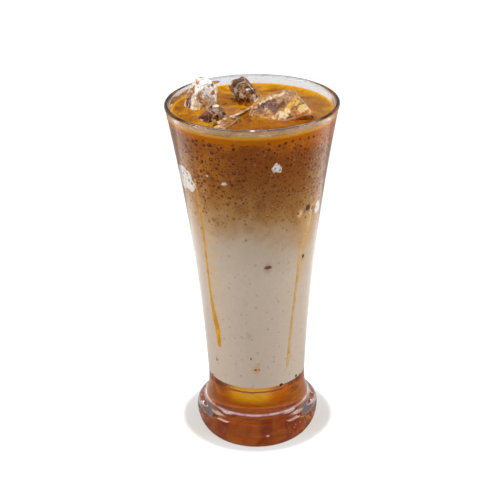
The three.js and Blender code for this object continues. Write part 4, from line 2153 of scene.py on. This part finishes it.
@dataclass(frozen=True)
class CoatAndHighlightFinish:
    """Film of coffee and cream on the ice, whose stains run into each other, with painted highlights:
    near-white patches and lines along the edges.
    """

    name: str
    ground: str
    share: float
    edge: str
    edge_amount: float
    gain: float
    dark_veins: float
    light_veins: float
    stains: tuple[tuple[float | str, ...], ...]

    def bent_place(self, graph: Graph, where: Socket) -> Socket:
        """Place on the piece, bent by noise, so that the stains have torn outlines.

        Args:
            graph: The material's tree.
            where: Place on the piece.

        Returns:
            The bent place.
        """
        for scale, amount in ((0.3, 4.0), (1.1, 1.3)):
            bend = graph.add("ShaderNodeTexNoise")
            graph.fill(bend, Vector=where, Scale=scale, Detail=2.0)
            off = graph.vector("SUBTRACT", bend.outputs["Color"], (0.5, 0.5, 0.5)).outputs[0]
            where = graph.vector("MULTIPLY_ADD", off, (amount, amount, amount), where).outputs[0]
        return where

    def vein(self, graph: Graph, where: Value, scale: float, width: float) -> Socket:
        """Mask of thin winding lines."""
        off = graph.minus(graph.noise(where, scale, 2.0, 0.5, 1.0), 0.5)
        return graph.smooth(graph.size(off), width, width * 0.3)

    def material(self, groups: Groups) -> Material:
        """The finish as a material, which lets the clear ice show where the film is torn.

        Args:
            groups: The shared node groups.

        Returns:
            The material.
        """
        material, graph, shader, _ = new_material(self.name)
        where = graph.place()
        bent = self.bent_place(graph, where)
        cover = graph.smooth(graph.noise(where, 0.2, 3.0, 0.6, 0.8), 0.68 - self.share, 0.74 - self.share)
        colour = linear(self.ground, self.gain)
        for row in self.stains:
            stain = IceStain(*row)
            middle = (stain.x, stain.y, stain.z)
            mask = graph.group(groups.ball, Place=bent, Middle=middle, Reach=stain.reach).outputs[0]
            amount = graph.times(mask, stain.amount)
            colour = graph.mix(amount, colour, linear(stain.colour, self.gain))
            cover = graph.larger(cover, amount)
        grain = graph.noise(where, 0.9, 5.0, 0.7, 0.6)
        colour = graph.shaded(colour, graph.smooth(grain, 0.3, 0.72, (0.55, 1.4)))
        dark = graph.times(self.vein(graph, bent, 0.16, 0.035), self.dark_veins)
        light = graph.times(self.vein(graph, bent, 0.12, 0.018), self.light_veins)
        # Lines along the edges of the box: painted highlights, pale on most pieces; on the tall piece they
        # are brown, painting the coffee seen through its edges.
        edge = graph.add("ShaderNodeAttribute", attribute_name=EDGE).outputs["Fac"]
        edge = graph.plus(edge, graph.times(graph.minus(grain, 0.5), 0.12))
        line = graph.times(graph.smooth(edge, 0.93, 0.98), self.edge_amount)
        colour = graph.layered(
            colour,
            (dark, linear("5a2404", self.gain)),
            (light, linear("f4e8d8", self.gain)),
            (line, linear(self.edge, self.gain)),
        )
        for mask in (dark, light, line):
            cover = graph.larger(cover, mask)
        cover = graph.plus(cover, graph.times(graph.minus(grain, 0.5), 1.1))
        graph.fill(
            shader,
            Base_Color=colour,
            Alpha=graph.smooth(cover, 0.2, 0.6),
            Roughness=graph.smooth(grain, 0.3, 0.7, (0.06, 0.25)),
            Specular_IOR_Level=0.25,
            Normal=graph.bump(grain, 0.5),
        )
        return material


TALL, LEANING, WEDGE, SLAB, LARGE = ICE
# The near-white stains are painted highlights; on the tall piece they also paint the pale glass seen through
# the ice, and its dark brown stains down the left side paint the coffee seen through that edge.
ICE_COATS_AND_HIGHLIGHTS = {
    TALL: CoatAndHighlightFinish("coat_and_highlights_on_tall", "e8dccc", 0.35, "a8703c", 0.5, 1.05, 0.5, 0.5, (
        (-25.2, 3.1, 189.1, 3.4, "f6f2ee"),
        (-21.3, 3.3, 190.4, 3.2, "f8f6f4"),
        (-23.1, 1.5, 187.3, 2.6, "f6f2ee"),
        (-19.4, 3.6, 187.8, 2.8, "f4f0ec"),
        (-18.3, 3.7, 183.2, 2.4, "eee6de"),
        (-24.0, 12.0, 186.0, 6.0, "eee8e0"),
        (-24.0, 0.3, 178.1, 2.8, "cf9c58"),
        (-26.9, -0.2, 179.7, 2.2, "e6cca4"),
        (-22.1, 1.3, 180.3, 2.2, "c89850"),
        (-26.3, 0.2, 182.0, 1.6, "e8d8c0"),
        (-28.6, 0.1, 178.2, 1.6, "f0e4d4"),
        (-25.6, 0.9, 184.3, 1.5, "b06c14"),
        (-24.0, 0.4, 182.3, 1.6, "a86010"),
        (-22.3, 1.3, 183.5, 1.0, "c08a40"),
        (-22.7, 1.0, 179.8, 1.0, "a46a28"),
        (-18.7, 3.6, 185.1, 1.5, "a86014"),
        (-30.4, 5.5, 182.9, 2.8, "844810"),
        (-30.7, 3.8, 180.3, 2.6, "743608"),
        (-31.0, 3.4, 178.5, 2.6, "5c2404"),
        (-28.7, 5.0, 186.2, 2.2, "985a1c"),
        (-26.4, 4.8, 189.3, 1.5, "a8743c"),
        (-25.5, 2.7, 188.2, 0.9, "6a3c20"),
        (-20.7, 2.9, 189.0, 0.9, "70482c"),
        (-19.1, 4.7, 189.4, 1.1, "4c2410"),
    )),
    LEANING: CoatAndHighlightFinish("coat_and_highlights_on_leaning", "a06c3c", 0.2, "f0e4d6", 0.5, 0.85, 0.8, 0.4, (
        (-7.5, 13.1, 186.9, 2.8, "7a4a20"),
        (-5.0, 13.3, 187.3, 2.6, "5e2c0c"),
        (-2.3, 13.2, 186.2, 2.6, "7c4c28"),
        (-0.8, 12.6, 183.8, 1.9, "5a2808"),
        (-3.0, 20.0, 184.0, 5.0, "7a4820"),
        (-4.5, 11.9, 185.3, 1.5, "b48858"),
        (-7.0, 11.7, 183.6, 1.8, "d4b490"),
        (-3.3, 11.1, 182.4, 1.9, "caa078"),
        (-5.2, 10.9, 181.2, 1.6, "ddc4a0"),
        (-1.8, 12.2, 183.6, 0.9, "f4ece4"),
        (-8.2, 11.8, 182.3, 1.1, "f0e6da"),
        (1.0, 11.6, 180.2, 1.4, "eeddc4"),
        (2.5, 11.4, 178.3, 1.3, "f2e8dc"),
        (-10.1, 17.1, 185.7, 1.5, "f4eee6"),
        (-2.8, 10.3, 178.2, 1.9, "641604"),
        (-4.6, 10.6, 178.7, 1.3, "8c4208"),
        (-0.3, 10.7, 179.3, 1.0, "c48a3c"),
    )),
    WEDGE: CoatAndHighlightFinish("coat_and_highlights_on_wedge", "8a5428", 0.25, "dcc0a0", 0.4, 0.85, 0.9, 0.3, (
        (-16.6, -13.3, 183.4, 2.4, "a08068"),
        (-14.5, -13.5, 182.2, 1.9, "8a6650"),
        (-16.9, -15.6, 181.7, 1.8, "b09478"),
        (-15.2, -14.7, 179.9, 1.8, "9a7450"),
        (-19.9, -15.8, 181.2, 2.4, "642c04", 1.0),
        (-22.4, -15.7, 178.7, 2.4, "501c00", 1.0),
        (-18.2, -17.0, 179.1, 1.6, "7a400c"),
        (-20.5, -17.2, 178.6, 1.5, "280c00", 1.0),
        (-13.1, -13.1, 179.8, 1.2, "321404"),
        (-19.0, -5.0, 181.0, 5.0, "a07044"),
        (-16.9, -12.5, 184.1, 1.0, "ecdcc8"),
        (-24.2, -14.6, 177.1, 1.4, "ecd4ac"),
        (-18.2, -17.3, 177.6, 1.2, "e0c094"),
    )),
    SLAB: CoatAndHighlightFinish("coat_and_highlights_on_slab", "9a6018", 0.25, "e0b860", 0.5, 0.9, 0.7, 0.3, (
        (-12.8, -25.2, 178.9, 2.8, "9c6020"),
        (-9.3, -22.3, 179.0, 2.4, "a46a30"),
        (-7.0, -20.8, 178.7, 1.8, "8c5018"),
        (-16.4, -25.6, 178.4, 1.5, "d8a848"),
        (-15.2, -21.5, 179.1, 1.3, "e2c488"),
        (-12.8, -19.9, 180.0, 1.2, "dcb884"),
        (-9.3, -18.2, 180.6, 1.4, "e4ccac"),
    )),
    LARGE: CoatAndHighlightFinish("coat_and_highlights_on_large", "a8702a", 0.32, "e4d0b4", 0.35, 0.95, 0.8, 0.2, (
        (14.0, 4.0, 183.0, 7.0, "b07c34"),
        (4.0, -1.0, 182.0, 3.0, "b8842c"),
        (9.0, 0.0, 184.0, 3.4, "bc8a34"),
        (16.0, -0.5, 186.0, 3.4, "b48848"),
        (22.0, -16.6, 180.1, 4.0, "c06c08"),
        (26.8, -16.6, 180.6, 3.6, "b86c0c"),
        (24.0, -17.0, 178.2, 3.0, "984a02"),
        (13.1, -16.2, 177.6, 3.2, "b06c10"),
        (7.3, -11.9, 178.7, 3.0, "b87a18"),
        (3.8, -9.5, 178.9, 2.6, "b47414"),
        (18.1, -11.0, 182.6, 3.0, "d4a02c"),
        (21.1, -9.5, 184.5, 2.6, "d0a030"),
        (23.9, -13.5, 182.7, 2.6, "d8b870"),
        (22.0, -6.5, 185.6, 2.0, "b89058"),
        (19.2, -13.2, 181.4, 1.7, "b4780c"),
        (3.2, -5.5, 180.8, 2.3, "421600", 1.0),
        (6.2, -5.7, 181.6, 2.6, "4e1c02", 1.0),
        (7.7, -4.3, 182.8, 1.8, "663210", 1.0),
        (9.8, -6.3, 182.3, 2.8, "5e2c0c", 1.0),
        (10.9, -9.4, 180.9, 2.1, "683612", 1.0),
        (14.0, -8.5, 182.4, 2.2, "6e3e18", 1.0),
        (13.4, -5.6, 184.2, 1.9, "9c744c"),
        (17.0, -5.5, 185.4, 2.0, "a88462"),
        (19.2, -4.9, 186.3, 1.4, "8c6038"),
        (6.8, -8.8, 180.1, 1.6, "dcb888"),
        (13.2, -13.7, 179.2, 2.4, "e0c498"),
        (15.5, -14.9, 179.1, 1.8, "d4b484"),
        (10.8, -13.7, 178.5, 1.4, "d8b070"),
        (16.8, -13.0, 180.8, 1.8, "e0c490"),
        (1.9, -5.0, 180.4, 1.4, "dcc0a0", 1.0),
        (3.6, -4.2, 181.4, 1.2, "d8bc9c", 1.0),
        (5.6, -3.4, 182.6, 1.2, "dcc4a4", 1.0),
        (7.4, -3.0, 183.4, 1.1, "ccac88", 1.0),
        (9.3, -2.7, 184.2, 1.2, "d8bc9c", 1.0),
        (11.4, -2.8, 185.0, 1.1, "c8a884", 1.0),
        (13.5, -3.0, 185.8, 1.2, "d4bca0", 1.0),
        (15.4, -3.0, 186.4, 1.1, "c8a884", 1.0),
        (17.1, -3.0, 186.9, 1.1, "d0b494", 1.0),
    )),
}


@dataclass(frozen=True)
class SunkRidge:
    """Edge of the large ice that runs on through the crema, towards the slab at the front."""

    path: tuple[tuple[float, float, float], ...] = (
        (-13.4, -13.6, 178.0),
        (-9.6, -10.2, 178.0),
        (-5.9, -6.8, 177.9),
        (-3.5, -2.8, 177.9),
        (-1.0, 1.0, 178.0),
        (2.0, 4.4, 178.4),
    )
    half_width: float = 0.95
    height: float = 0.5

    def build(self) -> None:
        """Builds and dresses the edge."""
        corners = np.array(self.path)
        shares = np.linspace(0, len(corners) - 1, 48)
        line = np.column_stack([np.interp(shares, np.arange(len(corners)), corners[:, i]) for i in range(3)])
        for _ in range(4):
            line[1:-1] = (line[:-2] + 2 * line[1:-1] + line[2:]) / 4
        ahead = np.gradient(line[:, :2], axis=0)
        ahead /= np.linalg.norm(ahead, axis=1)[:, None]
        sideways = np.column_stack([-ahead[:, 1], ahead[:, 0], np.zeros(len(line))])
        sides = 14
        turn = np.arange(sides) * 2 * math.pi / sides
        rows = [line[:1]]
        for i in range(1, len(line) - 1):
            thin = 0.5 + 0.5 * min(1, i / 6, (len(line) - 1 - i) / 6)
            thin += 0.35 * noise.noise(Vector((*(line[i, :2] * 0.4), 4.0)))
            row = line[i] + sideways[i] * (self.half_width * thin * np.cos(turn))[:, None]
            row[:, 2] += self.height * thin * np.sin(turn)
            rows.append(row)
        rows.append(line[-1:])
        faces = [face[::-1] for face in ring_faces(len(rows) - 2, sides)]
        piece = make_object("ice_sunk_ridge", (np.vstack(rows), faces))
        finish = PaintFinish("wet_ridge", "dcc2a4", "a87848", 0.85, 0.12, 0.6, 0.45)
        finish_piece(piece, finish.material(), Slot.ICE)


@dataclass
class IceGroup:
    """The five pieces of melting ice and the films on them, with their painted highlights."""

    steps: int = 52
    relief: float = 0.45
    waterline: float = 175.6
    lift: float = 0.06
    sink: float = 0.02

    def coat(self, shape: IceShape, skin: Mesh) -> tuple[Mesh, Points]:
        """Closed shell over the part of a piece that stands out, and how near its points lie to an edge.

        Args:
            shape: The piece's form.
            skin: Its skin as dressed.

        Returns:
            The shell, and a number from 0 to 1 for each of its points.
        """
        points, faces = skin
        kept = [face for face in faces if min(points[c][2] for c in face) > self.waterline]
        used = sorted({c for face in kept for c in face})
        place = {c: i for i, c in enumerate(used)}
        top = [[place[c] for c in face] for face in kept]
        outward = points[used] - np.array(shape.at)
        outward /= np.linalg.norm(outward, axis=1)[:, None]
        count = len(used)
        shell = top + [[c + count for c in reversed(face)] for face in top]
        sides = {(a, b) for face in top for a, b in zip(face, face[1:] + face[:1])}
        shell += [[b, a, a + count, b + count] for a, b in sorted(sides) if (b, a) not in sides]
        both = np.vstack([points[used] + outward * self.lift, points[used] - outward * self.sink])
        share = shape.edge_share(round_cube(self.steps)[0][used])
        return (both, shell), np.concatenate([share, share])

    def build(self, groups: Groups) -> None:
        """Builds and dresses the pieces and the films.

        Args:
            groups: The shared node groups.
        """
        for shape, finish in ICE_COATS_AND_HIGHLIGHTS.items():
            skin = shape.skin(self.steps, 0.0, self.relief)
            piece = make_object(f"{shape.name}_melting", skin)
            wet = IceFinish(f"{shape.name}_wet", linear(finish.ground))
            finish_piece(piece, wet.material(), Slot.ICE, shape.name)
            shell, share = self.coat(shape, skin)
            film = make_object(f"{shape.name}_coat", shell)
            film.data.attributes.new(EDGE, "FLOAT", "POINT").data.foreach_set("value", share)
            finish_piece(film, finish.material(groups), Slot.ICE)


# Stage


@dataclass
class Studio:
    """Plain pale floor, soft studio light and the camera, none of them part of the drink."""

    floor_half: float = 12.0
    floor_z: float = -0.05
    camera_at: tuple[float, float, float] = (0.0, -650.0, 404.47)
    pitch: float = 24.918
    yaw: float = -0.204
    roll: float = -1.104
    lens: float = 101.93
    sensor: float = 36.0
    nearest: float = 0.01
    farthest: float = 100.0
    sun_power: float = 1.7
    sun_width: float = 1.0
    sun_tilt: float = 3.8
    side_lights: tuple[tuple[str, tuple[float, float, float], float], ...] = (
        ("left_softbox", (-0.7, -0.25, 0.45), 0.3),
        ("right_softbox", (0.7, -0.2, 0.4), 0.35),
    )
    side_aim: tuple[float, float, float] = (0.0, 0.0, 0.1)
    side_power: float = 2.2

    def camera(self) -> None:
        """Sets up the camera at the photograph's viewing angle."""
        pitch, yaw, roll = (math.radians(a) for a in (self.pitch, self.yaw, self.roll))
        ahead = Vector((math.sin(yaw) * math.cos(pitch), math.cos(yaw) * math.cos(pitch), -math.sin(pitch)))
        level = ahead.cross(Vector((0, 0, 1))).normalized()
        upward = level.cross(ahead)
        right = math.cos(roll) * level + math.sin(roll) * upward
        up = -math.sin(roll) * level + math.cos(roll) * upward
        data = bpy.data.cameras.new("camera")
        data.sensor_width = self.sensor
        data.lens = self.lens
        data.clip_start = self.nearest
        data.clip_end = self.farthest
        camera = bpy.data.objects.new("camera", data)
        turn = Matrix((right, up, -ahead)).transposed().to_4x4()
        camera.matrix_world = Matrix.Translation(Vector(self.camera_at) * MM) @ turn
        bpy.context.scene.collection.objects.link(camera)
        bpy.context.scene.camera = camera

    def sharp_reflection(self, graph: Graph, path: Node) -> Socket:
        """Mask of the rays that come from a gloss, and not from a matt surface or through a clear one."""
        return graph.times(path.outputs["Is Reflection Ray"], path.outputs["Is Glossy Ray"])

    def floor(self) -> None:
        """Lays the floor, which looks dark in reflections off the front of the glass."""
        half = self.floor_half / MM
        signs = ((-1, -1), (1, -1), (1, 1), (-1, 1))
        corners = np.array([(half * x, half * y, self.floor_z) for x, y in signs])
        floor = make_object("floor", (corners, [[0, 1, 2, 3]]))
        material, graph, shader, _ = new_material("pale_floor")
        where = graph.place()
        depth = graph.parts(where)[1]
        path = graph.add("ShaderNodeLightPath")
        front = graph.larger(
            graph.smooth(depth, 200.0, -60.0), graph.smooth(depth, 190.0, 270.0, (0.0, 0.7))
        )
        mirrored = graph.times(self.sharp_reflection(graph, path), front)
        pale = graph.mix(graph.noise(where, 0.01, 2.0), (0.79, 0.79, 0.79), (0.81, 0.81, 0.81))
        through = graph.mix(path.outputs["Is Transmission Ray"], pale, (0.58, 0.58, 0.58))
        bounced = graph.mix(path.outputs["Is Diffuse Ray"], through, (0.5, 0.5, 0.5))
        graph.fill(
            shader,
            Base_Color=graph.mix(mirrored, bounced, (0.03, 0.03, 0.03)),
            Roughness=1.0,
            Emission_Color=WHITE,
            Emission_Strength=graph.times(path.outputs["Is Camera Ray"], 0.05),
            Specular_IOR_Level=0.0,
        )
        floor.data.materials.append(material)

    def surroundings(self) -> None:
        """Pale surroundings, dimmer in front, and dark there in reflections."""
        world = bpy.data.worlds.new("studio")
        world.use_nodes = True
        graph = Graph(world.node_tree)
        graph.tree.nodes.clear()
        _, y, z = graph.parts(graph.add("ShaderNodeTexCoord").outputs["Generated"])
        path = graph.add("ShaderNodeLightPath")
        dim = graph.times(graph.smooth(y, -0.15, -0.75), graph.smooth(z, 0.75, 0.45))
        above = graph.times(graph.smooth(z, 0.05, 0.2), graph.smooth(z, 0.8, 0.6))
        behind = graph.times(graph.smooth(y, 0.2, 0.5), above)
        glow = graph.layered(WHITE, (dim, (0.1, 0.1, 0.1)), (behind, (0.3, 0.3, 0.3)))
        ahead = graph.smooth(y, 0.75, 0.35)
        mirrored = graph.times(self.sharp_reflection(graph, path), ahead)
        patch = graph.times(graph.smooth(y, 0.1, 0.22), graph.smooth(z, 0.6, 0.75))
        glow = graph.mix(mirrored, glow, graph.mix(patch, (0.05, 0.05, 0.05), (7.0, 7.0, 7.4)))
        background = graph.add("ShaderNodeBackground")
        graph.feed(background.inputs[0], graph.mix(path.outputs["Is Camera Ray"], glow, WHITE))
        output = graph.add("ShaderNodeOutputWorld")
        graph.tree.links.new(background.outputs[0], output.inputs[0])
        bpy.context.scene.world = world

    def light(self, name: str, at: Sequence[float], size: float) -> None:
        """Hangs one square soft light.

        Args:
            name: The light's name.
            at: Its place in metres.
            size: Length of its sides in metres.
        """
        data = bpy.data.lights.new(name, "AREA")
        data.size = size
        data.energy = self.side_power
        lamp = bpy.data.objects.new(name, data)
        lamp.location = at
        lamp.rotation_mode = "QUATERNION"
        lamp.rotation_quaternion = (Vector(self.side_aim) - Vector(at)).to_track_quat("-Z", "Y")
        bpy.context.scene.collection.objects.link(lamp)

    def overhead(self) -> None:
        """Hangs the light straight above, which draws the round shadow."""
        data = bpy.data.lights.new("overhead", "SUN")
        data.energy = self.sun_power
        data.angle = math.radians(self.sun_width)
        lamp = bpy.data.objects.new("overhead", data)
        lamp.rotation_euler = (math.radians(self.sun_tilt), 0, 0)
        bpy.context.scene.collection.objects.link(lamp)

    def build(self) -> None:
        """Builds the stage."""
        self.camera()
        self.floor()
        self.surroundings()
        self.overhead()
        for name, at, size in self.side_lights:
            self.light(name, at, size)
        view = bpy.context.scene.view_settings
        view.view_transform = "Standard"
        view.look = "None"


def main() -> None:
    """Builds the drink around its frame."""
    logging.basicConfig(level=logging.INFO, format="%(name)s: %(message)s")
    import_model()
    Studio().build()
    groups = Groups()
    glass = GlassShape()
    drink = DrinkShape(glass)
    Vessel(glass, GlassFinish()).build(groups)
    Condensation(glass).build()
    SyrupPool(drink, SyrupFinish()).build(groups)
    Pour(drink, ICE).build(groups)
    for run in RUNS:
        run.build(drink)
    WallBubbles(drink).build()
    WallPatches(drink).build()
    WallFilm(drink).build(groups)
    IceGroup().build(groups)
    SunkRidge().build()


if __name__ == "__main__":
    main()
